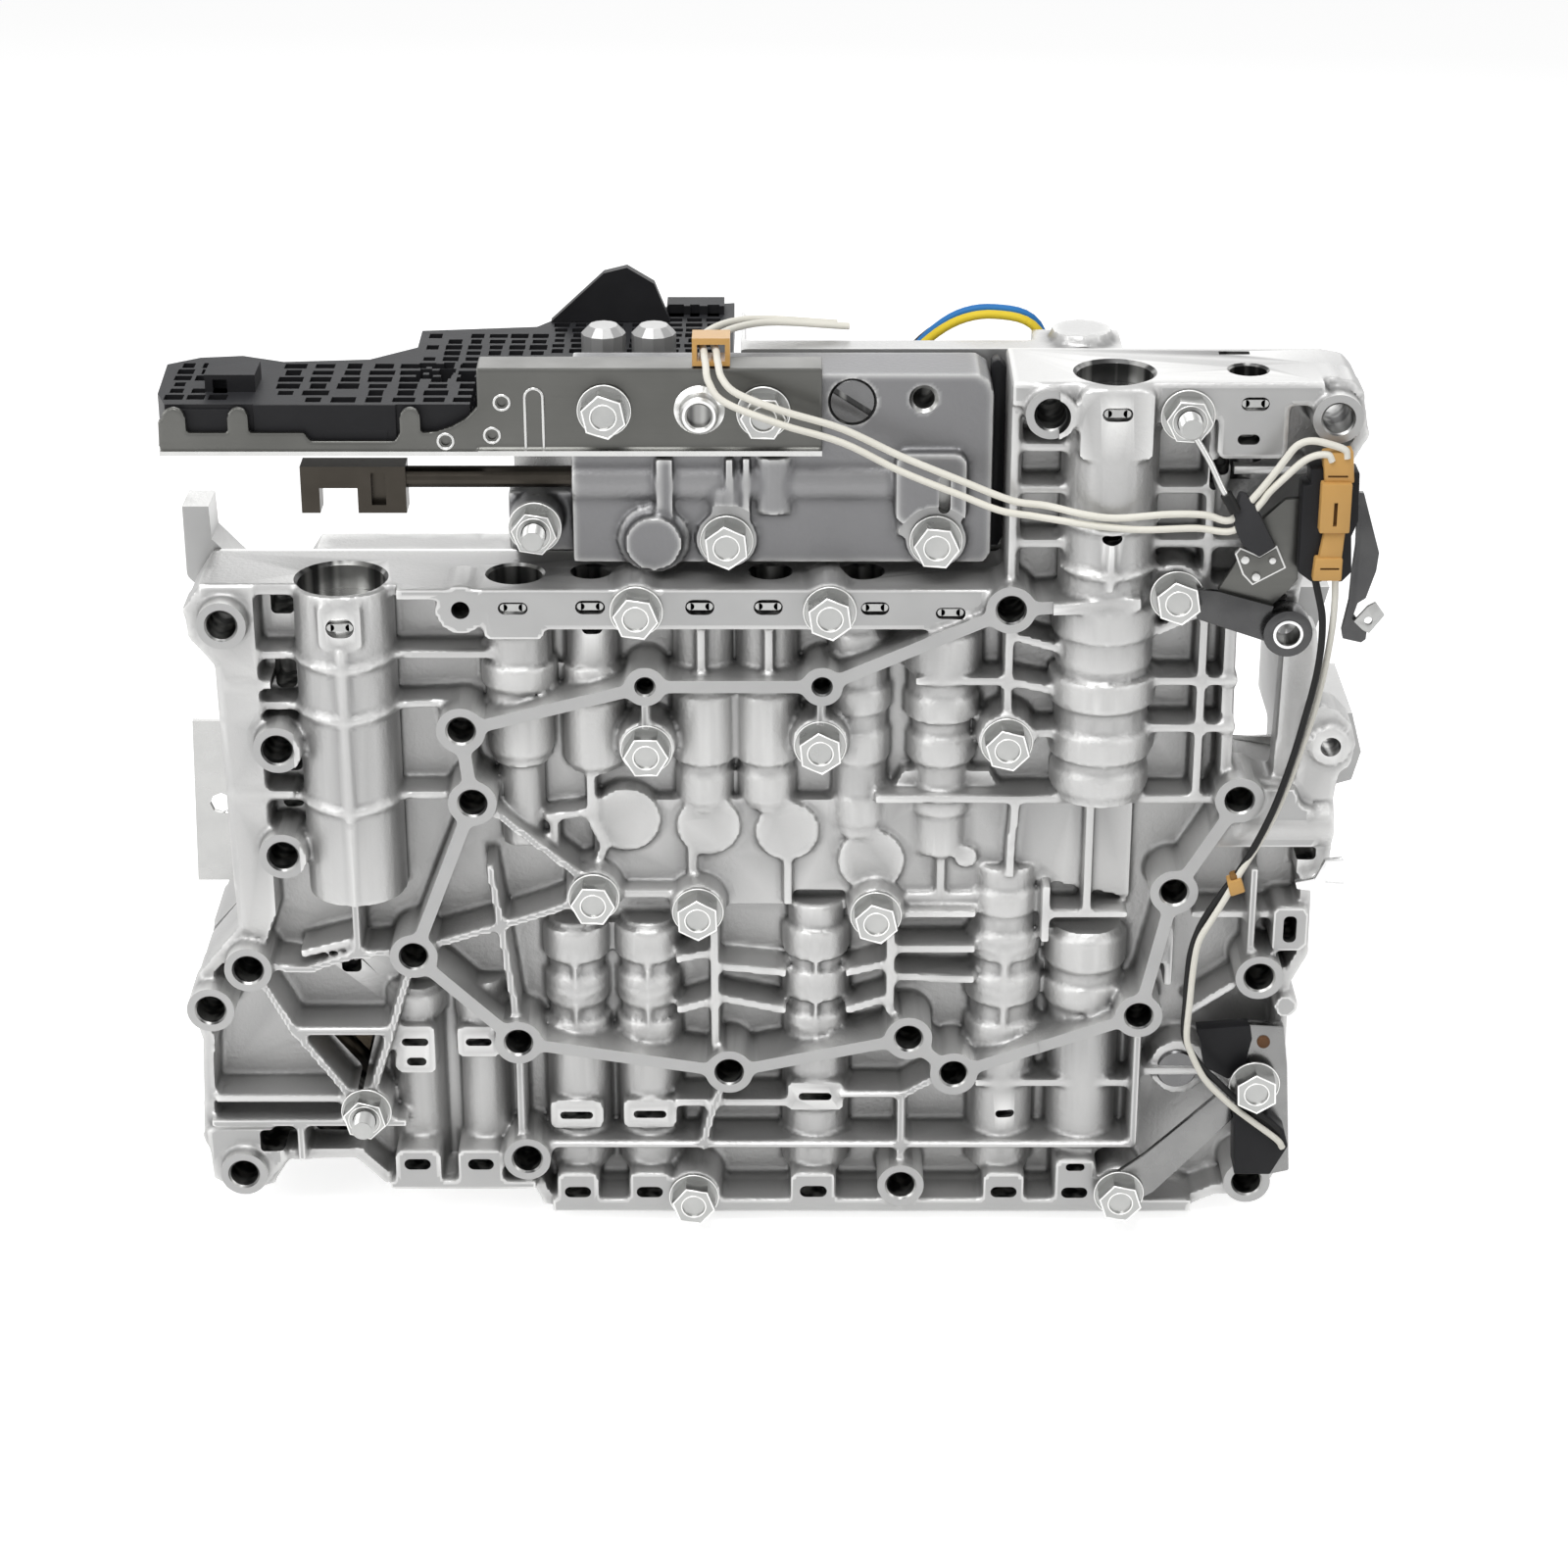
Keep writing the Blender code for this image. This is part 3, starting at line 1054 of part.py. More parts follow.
def selector_arm():
    """The flat arm beside the column with the hub of the selector spring at its end."""
    back = 4.0 - GAP
    front = back - ARM_THICKNESS
    outline = ((94.0, 180.0), (97.5, 185.0), (103.0, 185.5), (107.0, 182.5), (126.0, 176.5), (126.0, 164.5),
               (105.0, 173.0), (98.0, 174.0))
    base = prism(outline, front, back)
    added = [drilled(128.2, 170.4, -4.5, back, 7.4, 14)]
    cuts = [drilled(128.2, 170.4, -6, back + 1, 3.6, 10)]
    cuts.append(drilled(*ARM_BOLT, front - 1, back + 1, THREAD_RADIUS + SHANK_CLEARANCE, 6))
    return combine("selector_arm", base, added, cuts, "sheet_steel")


def sheet_bracket():
    """The sheet steel tongue on the arm that the connector holder is clipped to."""
    outline = (
        (110, 183.5), (118.5, 176.8), (123, 180.5), (133, 183), (147, 183), (147, 173), (142.5, 168),
        (146, 165), (151, 168.5), (150.5, 189), (146, 206), (144, 217), (131, 217), (121, 208),
        (118, 196),
    )
    base = prism(outline, BRACKET_FACE, BRACKET_FACE + SHEET_THICKNESS)
    return combine("sheet_bracket", base, [], [], "sheet_steel")


def lead_connector():
    """The two-way plug at the right and the black holder that grips it."""
    back = BRACKET_FACE - GAP
    base = centred_box(138.0, 201.5, 7.6, 34.0, back - 7.5, back - 2.5)
    added = [centred_box(138.2, 193.0, 5.4, 14.0, back - 8.6, back - 3.0)]
    cuts = [centred_box(138.0, 216.5, 3.4, 5.0, back - 9, back - 5.5)]
    combine("lead_connector", base, added, cuts, "tan_plastic")
    base = centred_box(138.0, 199.5, 13.6, 27.0, back - 2.2, back)
    added = [centred_box(x, 199.5, 2.2, 25.0, back - 7.0, back) for x in (132.5, 143.5)]
    combine("connector_holder", base, added, [], "black_plastic")


def clips():
    """The two cable clips and the rubber pad, each with a way through it for the leads."""
    leaf = MANUAL_TOP + 2 * GAP + SHEET_THICKNESS
    base = box((-18.6, 11.0, leaf), (-9.4, 18.0, leaf + 7.0))
    tunnel = box((-17.4, 10.0, leaf + 1.2), (-10.6, 19.0, leaf + 5.4))
    combine("yellow_clip", base, [], [tunnel], "tan_plastic")
    back = BRACKET_FACE - GAP
    base = prism(((115.0, 206), (119.8, 207), (128.3, 191.5), (123.5, 189)), back - 6.5, back)
    tunnel = prism(((112, 205.5), (134, 205.5), (134, 193.2), (112, 193.2)), back - 4.0, back + 1)
    combine("lead_pad", base, [], [tunnel], "grey_rubber")
    (x0, z0), (x1, z1) = (120.6, 104.5), (118.0, 96.5)
    base = wall((x0, z0), (x1, z1), 9.6, -7.4, -0.4)
    tunnel = wall((x0 + 1, z0 + 3.1), (x1 - 1, z1 - 3.1), 7.0, -5.6, -2.2)
    combine("tan_clip", base, [], [tunnel], "tan_plastic")


def strainer():
    """The felt piece seen through the triangular window."""
    outline = ((-118.2, 53.1), (-104.2, 53.1), (-107.4, 40.2))
    back = FRONT_DEPTH + GAP + PLATE_THICKNESS
    combine("strainer", prism(outline, FRONT_DEPTH - 6, back), [], [], "strainer_felt")


def side_plug():
    """The round plug in the right side of the front casting and the wire clip over its end."""
    combine("side_plug", round_bar((126.5, 10, 111.9), (142.5, 10, 111.9), 4.2, 12), [], [], "ground_steel")
    points = ((137.6, 10, 119.2), (143.6, 10, 118.4), (143.6, 10, 106.6), (140.2, 10, 105.2))
    tube("side_clip", points, 0.7, "ground_steel")


def leads():
    """The leads, each whole from one end to the other; the clips and housings hold them."""
    for name, path in (("lead_white_a", LEAD_A), ("lead_white_b", LEAD_B)):
        tube(name, smooth_path(path[:-1], LEAD_SPACING) + [path[-1]], LEAD_RADIUS, "white_sleeve")
    for name, shift, coating in (("lead_black", 0.0, "black_sleeve"), ("lead_white_c", 2.9, "white_sleeve")):
        points = [(x + shift, depth, z) for x, depth, z in LEAD_LOW]
        tube(name, smooth_path(points, LEAD_SPACING), LEAD_RADIUS, coating)
    arcs = (("lead_yellow", 51.5, 0.0), ("lead_blue", 54.2, 0.8), ("lead_grey", 56.9, -0.6))
    for (name, depth, rise), coating in zip(arcs, ("yellow_sleeve", "blue_sleeve", "black_sleeve")):
        points = ((33, depth, REAR_SHELF + 1), (36, depth, 225.0), (46, depth, 233.8 + rise),
                  (57, depth, 236.2 + rise), (68, depth, 232.0 + rise), (73.5, depth, REAR_SHELF + 1))
        tube(name, smooth_path(points, LEAD_SPACING), LEAD_RADIUS, coating)


def main():
    front_body()
    separator_plate()
    rear_body()
    manual_valve_body()
    manual_valve()
    spool("regulator_valve", PRIMARY_BORE, 99.5, 124.0)
    spring("regulator_spring", PRIMARY_BORE, 124.0, 150.0)
    plug("regulator_plug", PRIMARY_BORE, 150.0, 174.0)
    spool("column_valve", COLUMN_BORE, 127.5, 158.0)
    spring("column_spring", COLUMN_BORE, 158.0, COLUMN_TOP - 34.5)
    plug("column_plug", COLUMN_BORE, COLUMN_TOP - 34.5, COLUMN_TOP - 5.5)
    spool("clutch_valve", SECOND_BORE, 137.5, 168.0)
    fasteners()
    conductor_bracket()
    conductor_housing()
    conductor_flap()
    solenoids()
    sensor_pieces()
    sensor_strap()
    selector_arm()
    sheet_bracket()
    lead_connector()
    clips()
    strainer()
    side_plug()
    leads()


main()
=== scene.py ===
"""The looks of a transmission valve body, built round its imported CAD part.

Lengths are in millimetres until place() turns them into metres. A point is x, depth, z:
depth runs backwards from the machined face of the front casting, z upwards from the floor.
"""

import math

import bmesh
import bpy
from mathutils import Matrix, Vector

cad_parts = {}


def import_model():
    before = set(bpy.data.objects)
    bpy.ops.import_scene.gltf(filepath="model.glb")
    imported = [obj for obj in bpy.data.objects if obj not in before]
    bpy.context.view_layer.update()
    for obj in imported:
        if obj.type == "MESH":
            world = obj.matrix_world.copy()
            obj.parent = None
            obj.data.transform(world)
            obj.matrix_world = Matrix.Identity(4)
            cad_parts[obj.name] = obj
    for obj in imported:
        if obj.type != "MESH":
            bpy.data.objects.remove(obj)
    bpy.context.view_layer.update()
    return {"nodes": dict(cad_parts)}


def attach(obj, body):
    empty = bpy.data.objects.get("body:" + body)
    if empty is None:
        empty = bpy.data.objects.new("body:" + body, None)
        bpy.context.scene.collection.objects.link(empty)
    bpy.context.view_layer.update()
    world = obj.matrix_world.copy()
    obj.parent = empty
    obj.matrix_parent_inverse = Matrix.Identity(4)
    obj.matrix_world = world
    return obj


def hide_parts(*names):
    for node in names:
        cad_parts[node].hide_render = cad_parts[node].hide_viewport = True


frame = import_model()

MM = 0.001
MIDDLE_DEPTH = 15.0
FLOOR = 16.0
BACK = 30.0
PANEL = 11.0
STRIP = 2.0
RIM = 6.0
TOP_FACE = 181.0
COLUMN_TOP = 234.5
CASE_HOLE = 3.7
BLIND_HOLE = 3.4
EDGES = "edges"
# The colour of the painted highlight on the castings' outer edges.
PAINTED_EDGE_HIGHLIGHT = (0.74, 0.74, 0.73)
RIDGE_FACE = -2
CUT_FROM = -3.0
BLIND_END = 24.0

# The photo's view: its width and focal length in pixels, the film's width in millimetres, the tilt in
# degrees, the distance in metres and the point it looks at.
PHOTO_WIDTH = 1600.0
PHOTO_FOCAL = 3716.0
FILM = 36.0
TILT = 24.5
DISTANCE = 0.917
AIM = (3.7, 0.0, 129.4)


def place(x, depth, z):
    """A point in metres from x, the depth behind the machined face, and the height."""
    return Vector((x, depth - MIDDLE_DEPTH, z)) * MM


# Nodes and materials.

class Wire:
    """The output of a node. Sums written with it become Math nodes."""

    def __init__(self, maker, socket):
        self.maker = maker
        self.socket = socket

    def sum(self, operation, *terms):
        """A Math node on the terms."""
        kind = "ShaderNodeMath"
        return self.maker.add(kind, {"operation": operation}, *terms)

    def __add__(self, other):
        return self.sum("ADD", self, other)

    def __radd__(self, other):
        return self.sum("ADD", other, self)

    def __sub__(self, other):
        return self.sum("SUBTRACT", self, other)

    def __rsub__(self, other):
        return self.sum("SUBTRACT", other, self)

    def __mul__(self, other):
        return self.sum("MULTIPLY", self, other)

    def __rmul__(self, other):
        return self.sum("MULTIPLY", other, self)


class NodeMaker:
    """Adds nodes to one node tree: a type, its settings, then the values or wires of its inputs."""

    def __init__(self, tree):
        self.tree = tree

    def add(self, kind, settings=None, *values, output=0, **named):
        """A new node; named inputs take an underscore for each space."""
        node = self.tree.nodes.new(kind)
        for name, value in (settings or {}).items():
            setattr(node, name, value)
        for index, value in enumerate(values):
            self.join(node.inputs[index], value)
        for name, value in named.items():
            self.join(node.inputs[name.replace("_", " ")], value)
        return Wire(self, node.outputs[output]) if node.outputs else node

    def join(self, socket, value):
        """Links a wire to the socket, or sets the socket to the value."""
        if value is None:
            return
        if isinstance(value, Wire):
            self.tree.links.new(value.socket, socket)
        else:
            socket.default_value = value


class Surface(NodeMaker):
    """A material made of nodes on object coordinates."""

    def __init__(self, name):
        self.material = bpy.data.materials.new(name)
        self.material.use_nodes = True
        super().__init__(self.material.node_tree)
        self.tree.nodes.clear()
        self.where = self.add("ShaderNodeTexCoord", None, output="Object")

    def noise(self, scale, detail=2.0, roughness=0.5):
        """Noise on the piece's own coordinates."""
        return self.add("ShaderNodeTexNoise", None, Vector=self.where, Scale=scale, Detail=detail,
                        Roughness=roughness)

    def blend(self, factor, first, second):
        """A colour between two colours."""
        settings = {"data_type": "RGBA", "clamp_factor": True}
        node = self.tree.nodes.new("ShaderNodeMix")
        for name, value in settings.items():
            setattr(node, name, value)
        self.join(node.inputs[0], factor)
        self.join(node.inputs[6], first if isinstance(first, Wire) else (*first, 1))
        self.join(node.inputs[7], second if isinstance(second, Wire) else (*second, 1))
        return Wire(self, node.outputs[2])

    def bump(self, height, strength, distance):
        """A normal from a height, its distance in millimetres."""
        return self.add("ShaderNodeBump", None, Strength=strength, Distance=distance * MM, Height=height)

    def finish(self, colour, roughness, metallic=0.0, normal=None, coat=0.0, gloss=0.5):
        """Closes the material with its shader."""
        node = self.tree.nodes.new("ShaderNodeBsdfPrincipled")
        end = self.tree.nodes.new("ShaderNodeOutputMaterial")
        colour = colour if isinstance(colour, Wire) else (*colour, 1)
        self.join(node.inputs["Base Color"], colour)
        self.join(node.inputs["Roughness"], roughness)
        self.join(node.inputs["Metallic"], metallic)
        self.join(node.inputs["Coat Weight"], coat)
        node.inputs["Specular IOR Level"].default_value = gloss
        self.join(node.inputs["Normal"], normal)
        self.tree.links.new(node.outputs[0], end.inputs[0])
        return self.material


def cast_aluminium(name, low, high):
    """Die-cast skin: matt, finely pebbled, with faint cloudy shade, a painted highlight on outer edges and
    painted shade in inner corners.
    """
    skin = Surface(name)
    grain = skin.noise(900.0, 3.0, 0.6)
    clouds = skin.noise(28.0, 3.0)
    highlight_and_shade_mask = skin.add("ShaderNodeAttribute", {"attribute_name": EDGES}, output="Fac")
    shade = skin.blend(clouds, low, high)
    # Painted shade: inner corners darken towards a fifth of the low colour.
    shade = skin.blend((0.5 - highlight_and_shade_mask) * 2.6, shade, [0.22 * value for value in low])
    # Painted highlight: outer edges lighten towards the edge highlight colour.
    shade = skin.blend((highlight_and_shade_mask - 0.5) * 2.4, shade, PAINTED_EDGE_HIGHLIGHT)
    normal = skin.bump(grain, 0.45, 0.3)
    return skin.finish(shade, 0.38 + 0.14 * clouds, 0.86, normal)


def machined_aluminium():
    """Milled faces: bright, with fine cutter lines."""
    face = Surface("machined_aluminium")
    fine = face.noise(420.0, 2.0)
    patches = face.noise(60.0, 2.0)
    shade = face.blend(patches, (0.35, 0.35, 0.35), (0.44, 0.44, 0.435))
    return face.finish(shade, 0.34 + 0.10 * fine, 0.7, face.bump(fine, 0.08, 0.1))


def bored_aluminium():
    """The inside of holes and bores: smooth and streaked along the bores, with painted shade making it
    darker.
    """
    wall = Surface("bored_aluminium")
    stretched = wall.add("ShaderNodeMapping", None, Vector=wall.where, Scale=(260.0, 260.0, 6.0))
    streaks = wall.add("ShaderNodeTexNoise", None, Vector=stretched, Scale=1.0, Detail=1.0)
    # Painted shade: the walls darken towards near black between the streaks.
    shade = wall.blend((streaks - 0.42) * 5.0, (0.05, 0.05, 0.05), (0.40, 0.40, 0.39))
    return wall.finish(shade, 0.30, 0.9)


CAST = cast_aluminium("cast_aluminium", (0.38, 0.38, 0.38), (0.54, 0.537, 0.53))
DARK_CAST = cast_aluminium("dark_cast_aluminium", (0.17, 0.17, 0.175), (0.245, 0.245, 0.25))
MACHINED = machined_aluminium()
SHADED_BORE = bored_aluminium()


# Solid shapes.

class Solid:
    """Closed shells collected in one mesh, in millimetres until the end."""

    def __init__(self, finish=0):
        self.shape = bmesh.new()
        self.finish = finish

    def taken(self, verts):
        """Gives the new faces this solid's finish."""
        for face in {face for vert in verts for face in vert.link_faces}:
            face.material_index = self.finish
        return self

    def box(self, low, high):
        """A box between two corners."""
        made = bmesh.ops.create_cube(self.shape, size=1)["verts"]
        first = Vector(low)
        last = Vector(high)
        bmesh.ops.scale(self.shape, vec=last - first, verts=made)
        bmesh.ops.translate(self.shape, vec=(first + last) / 2, verts=made)
        return self.taken(made)

    def block(self, x, z, width, height, front, back):
        """A box round a centre of the front view."""
        return self.box((x - width / 2, front, z - height / 2), (x + width / 2, back, z + height / 2))

    def lathe(self, start, end, profile, sides=24):
        """A turned shape: profile gives (distance from start, radius) pairs along the axis."""
        first = Vector(start)
        axis = (Vector(end) - first).normalized()
        turn = axis.to_track_quat("Z", "Y").to_matrix()
        rings = []
        for along, radius in profile:
            ring = []
            for step in range(sides):
                angle = 2 * math.pi * step / sides
                spoke = turn @ Vector((math.cos(angle) * radius, math.sin(angle) * radius, along))
                ring.append(self.shape.verts.new(first + spoke))
            rings.append(ring)
        for low, high in zip(rings, rings[1:]):
            for step in range(sides):
                after = (step + 1) % sides
                self.shape.faces.new((low[step], low[after], high[after], high[step]))
        self.shape.faces.new(list(reversed(rings[0])))
        self.shape.faces.new(rings[-1])
        return self.taken([vert for ring in rings for vert in ring])

    def bar(self, start, end, radius, sides=24, end_radius=None):
        """A round bar or cone."""
        length = (Vector(end) - Vector(start)).length
        last = radius if end_radius is None else end_radius
        return self.lathe(start, end, ((0, radius), (length, last)), sides)

    def upright(self, x, depth, low, high, radius, sides=28):
        """A round bar that stands upright."""
        return self.bar((x, depth, low), (x, depth, high), radius, sides)

    def drill(self, x, z, front, back, radius, sides=28, back_radius=None):
        """A round bar along the depth."""
        return self.bar((x, front, z), (x, back, z), radius, sides, back_radius)

    def wall(self, first, last, width, front, back, overlap=0.0):
        """A straight web of even width between two points of the front view."""
        a = Vector((first[0], 0, first[1]))
        b = Vector((last[0], 0, last[1]))
        along = (b - a).normalized()
        side = Vector((-along.z, 0, along.x)) * width / 2
        a = a - along * overlap
        b = b + along * overlap
        return self.prism([(p.x, p.z) for p in (a - side, b - side, b + side, a + side)], front, back)

    def walls(self, points, width, front, back):
        """A chain of webs through the points."""
        for first, last in zip(points, points[1:]):
            self.wall(first, last, width, front, back, 0.3)
        return self

    def extrude(self, outline, place_low, place_high):
        """Closes an outline between the two places given for its points."""
        area = sum(a[0] * b[1] - b[0] * a[1] for a, b in zip(outline, outline[1:] + outline[:1]))
        outline = list(outline) if area > 0 else list(reversed(outline))
        low = [self.shape.verts.new(place_low(*point)) for point in outline]
        high = [self.shape.verts.new(place_high(*point)) for point in outline]
        count = len(outline)
        for step in range(count):
            after = (step + 1) % count
            self.shape.faces.new((low[step], low[after], high[after], high[step]))
        self.shape.faces.new(list(reversed(low)))
        self.shape.faces.new(high)
        return self.taken(low + high)

    def prism(self, outline, front, back):
        """An outline of the front view, x and z, between two depths."""
        return self.extrude(list(outline), lambda x, z: (x, back, z), lambda x, z: (x, front, z))

    def plan(self, outline, low, high):
        """An outline of the plan view, x and depth, between two heights."""
        return self.extrude(list(outline), lambda x, d: (x, d, low), lambda x, d: (x, d, high))

    def rounded(self, x, z, width, height, front, back, radius, steps=5):
        """A block with rounded corners."""
        return self.prism(rounded_outline(x, z, width, height, radius, steps), front, back)

    def object(self, name, finishes=()):
        """Ends the solid as an object in metres."""
        for vert in self.shape.verts:
            vert.co = place(*vert.co)
        mesh = bpy.data.meshes.new(name)
        bmesh.ops.recalc_face_normals(self.shape, faces=self.shape.faces)
        self.shape.to_mesh(mesh)
        self.shape.free()
        for finish in finishes:
            mesh.materials.append(finish)
        made = bpy.data.objects.new(name, mesh)
        bpy.context.scene.collection.objects.link(made)
        return made


def rounded_outline(x, z, width, height, radius, steps=5):
    """A rectangle with round corners, anticlockwise."""
    radius = min(radius, width / 2 - 0.01, height / 2 - 0.01)
    corners = ((1, -1, -90), (1, 1, 0), (-1, 1, 90), (-1, -1, 180))
    points = []
    for right, up, start in corners:
        cx = x + right * (width / 2 - radius)
        cz = z + up * (height / 2 - radius)
        for step in range(steps + 1):
            angle = math.radians(start + 90 * step / steps)
            points.append((cx + math.cos(angle) * radius, cz + math.sin(angle) * radius))
    return points


def inset(outline, distance):
    """The outline moved inwards by a distance, corner by corner."""
    area = sum(a[0] * b[1] - b[0] * a[1] for a, b in zip(outline, outline[1:] + outline[:1]))
    side = 1 if area > 0 else -1
    moved = []
    for index, point in enumerate(outline):
        here = Vector(point)
        before = (here - Vector(outline[index - 1])).normalized()
        after = (Vector(outline[(index + 1) % len(outline)]) - here).normalized()
        normal_before = Vector((-before.y, before.x)) * side
        normal_after = Vector((-after.y, after.x)) * side
        middle = (normal_before + normal_after).normalized()
        moved.append(tuple(here + middle * distance / max(0.5, middle.dot(normal_before))))
    return moved


def apply(piece, kind, **settings):
    """Adds a modifier and keeps its result as the piece's mesh."""
    modifier = piece.modifiers.new(kind.title(), kind)
    for name, value in settings.items():
        setattr(modifier, name, value)
    bpy.context.view_layer.update()
    shown = piece.evaluated_get(bpy.context.evaluated_depsgraph_get())
    mesh = bpy.data.meshes.new_from_object(shown)
    piece.modifiers.clear()
    old = piece.data
    piece.data = mesh
    bpy.data.meshes.remove(old)
    return piece


def cast_skin(piece, voxel, passes, triangles):
    """Melts the shells of a piece into one casting with soft fillets."""
    apply(piece, "REMESH", mode="VOXEL", voxel_size=voxel * MM, use_smooth_shade=True)
    apply(piece, "SMOOTH", factor=0.5, iterations=passes)
    count = sum(len(p.vertices) - 2 for p in piece.data.polygons)
    if count > triangles:
        apply(piece, "DECIMATE", decimate_type="COLLAPSE", ratio=triangles / count)
    return piece


def cut(piece, cutter):
    """Cuts the solid of a cutter from a piece. The cut faces take the cutter's finish."""
    apply(piece, "BOOLEAN", operation="DIFFERENCE", solver="MANIFOLD", object=cutter)
    old = cutter.data
    bpy.data.objects.remove(cutter)
    bpy.data.meshes.remove(old)
    return piece


def mark_edges(piece, strength=1.6, passes=1):
    """Stores how far each point stands out: above 0.5 on outer edges, below it in inner corners; the cast
    finishes paint highlights and shade from it.
    """
    mesh = piece.data
    count = len(mesh.vertices)
    rise = [0.0] * count
    share = [0] * count
    pairs = []
    for edge in mesh.edges:
        a, b = edge.vertices
        way = mesh.vertices[b].co - mesh.vertices[a].co
        length = max(way.length, 0.0001)
        rise[a] -= mesh.vertices[a].normal.dot(way) / length
        rise[b] += mesh.vertices[b].normal.dot(way) / length
        share[a] += 1
        share[b] += 1
        if length < 0.0016:
            pairs.append((a, b))
    rise = [value / max(1, number) for value, number in zip(rise, share)]
    for _ in range(passes):
        total = list(rise)
        share = [1] * count
        for a, b in pairs:
            total[a] += rise[b]
            total[b] += rise[a]
            share[a] += 1
            share[b] += 1
        rise = [value / number for value, number in zip(total, share)]
    values = mesh.attributes.new(EDGES, "FLOAT", "POINT")
    for index, value in enumerate(rise):
        values.data[index].value = min(1.0, max(0.0, 0.5 + value * strength))
    return piece


def smooth_edges(piece, angle=35):
    """Smooth shading, with edges kept above the angle in degrees."""
    piece.data.shade_smooth()
    piece.data.set_sharp_from_angle(angle=math.radians(angle))
    return piece


# Camera, floor and light.

def camera():
    """The photo's view: no turn and no roll, looking down by the tilt."""
    lens = bpy.data.cameras.new("camera")
    lens.sensor_width = FILM
    lens.lens = FILM * PHOTO_FOCAL / PHOTO_WIDTH
    lens.clip_start = 0.05
    lens.clip_end = 20.0
    made = bpy.data.objects.new("camera", lens)
    bpy.context.scene.collection.objects.link(made)
    tilt = math.radians(TILT)
    made.location = place(*AIM) + Vector((0, -math.cos(tilt), math.sin(tilt))) * DISTANCE
    made.rotation_euler = (math.radians(90 - TILT), 0, 0)
    bpy.context.scene.camera = made


def white_for_the_eye(nodes):
    """A factor that is 1 where a camera, glossy or transmission ray arrives."""
    path = nodes.tree.nodes.new("ShaderNodeLightPath")
    names = ("Is Camera Ray", "Is Glossy Ray", "Is Transmission Ray")
    rays = [Wire(nodes, path.outputs[name]) for name in names]
    seen = rays[0] + rays[1] + rays[2]
    return nodes.add("ShaderNodeMath", {"operation": "MINIMUM"}, seen, 1.0)


def world():
    """White to the eye and in reflections, dim as a light."""
    made = bpy.data.worlds.new("studio")
    bpy.context.scene.world = made
    made.use_nodes = True
    nodes = NodeMaker(made.node_tree)
    nodes.tree.nodes.clear()
    seen = white_for_the_eye(nodes)
    dim = nodes.add("ShaderNodeBackground", None, (1, 1, 1, 1), 0.34)
    bright = nodes.add("ShaderNodeBackground", None, (1, 1, 1, 1), 1.0)
    mixed = nodes.add("ShaderNodeMixShader", None, seen, dim, bright)
    end = nodes.tree.nodes.new("ShaderNodeOutputWorld")
    nodes.join(end.inputs[0], mixed)


def lamp(name, where, aim, size, power):
    """An area lamp at a place in metres, turned to its aim."""
    light = bpy.data.lights.new(name, "AREA")
    light.shape = "RECTANGLE"
    light.size, light.size_y = size
    light.energy = power
    made = bpy.data.objects.new(name, light)
    bpy.context.scene.collection.objects.link(made)
    made.location = Vector(where)
    made.rotation_mode = "QUATERNION"
    made.rotation_quaternion = (Vector(aim) - Vector(where)).to_track_quat("-Z", "Y")
    return made


def lights():
    """Four soft lamps: the top one leads, the others fill."""
    centre = (0, 0, 0.12)
    lamp("lamp_top", (-0.15, -0.40, 1.05), centre, (0.7, 0.5), 6.4)
    lamp("lamp_left", (-0.95, -0.7, 0.55), centre, (0.4, 0.7), 3.2)
    lamp("lamp_right", (1.0, -0.6, 0.5), centre, (0.3, 0.7), 1.5)
    lamp("lamp_back", (0.1, 1.0, 0.66), centre, (0.9, 0.45), 2.0)


def floor():
    """A wide pale sheet just under the part."""
    shape = bmesh.new()
    bmesh.ops.create_grid(shape, x_segments=8, y_segments=8, size=6.0)
    mesh = bpy.data.meshes.new("floor")
    shape.to_mesh(mesh)
    shape.free()
    made = bpy.data.objects.new("floor", mesh)
    bpy.context.scene.collection.objects.link(made)
    made.location.z = -0.0002
    sheet = Surface("floor_paper")
    seen = white_for_the_eye(sheet)
    paper = sheet.add("ShaderNodeBsdfDiffuse", None, (0.86, 0.86, 0.86, 1), 0.0)
    glow = sheet.add("ShaderNodeEmission", None, (1, 1, 1, 1), 0.62)
    lit = sheet.add("ShaderNodeAddShader", None, paper, glow)
    mixed = sheet.add("ShaderNodeMixShader", None, seen, paper, lit)
    end = sheet.tree.nodes.new("ShaderNodeOutputMaterial")
    sheet.join(end.inputs[0], mixed)
    mesh.materials.append(sheet.material)


camera()
world()
lights()
floor()
bpy.context.scene.view_settings.view_transform = "Standard"


# The front casting.

CASE_BOSSES = (
    (-135.4, 172.2), (-123.4, 138.6), (-123.6, 109.1), (-134.5, 76.6), (-144.9, 64.9), (-139.2, 15.9),
    (-64.1, 20.4), (34.6, 12.4), (126.3, 13.5), (126.4, 74.4), (68.1, 227.0), (137.3, 225.9),
)
RIDGE_BOSSES = (
    (-77.2, 143.9), (-75.0, 124.0), (-91.6, 80.6), (-65.4, 55.4), (-10.6, 46.7), (36.1, 56.6),
    (48.0, 46.1), (95.7, 63.2), (103.3, 98.9), (118.7, 124.8), (59.7, 176.4),
)
RIDGE_PINS = ((-30.9, 155.9), (13.2, 155.9))
RIDGE = (RIDGE_BOSSES[:10], (RIDGE_BOSSES[0], RIDGE_PINS[0], RIDGE_PINS[1], RIDGE_BOSSES[10], (91.5, 178.6)))

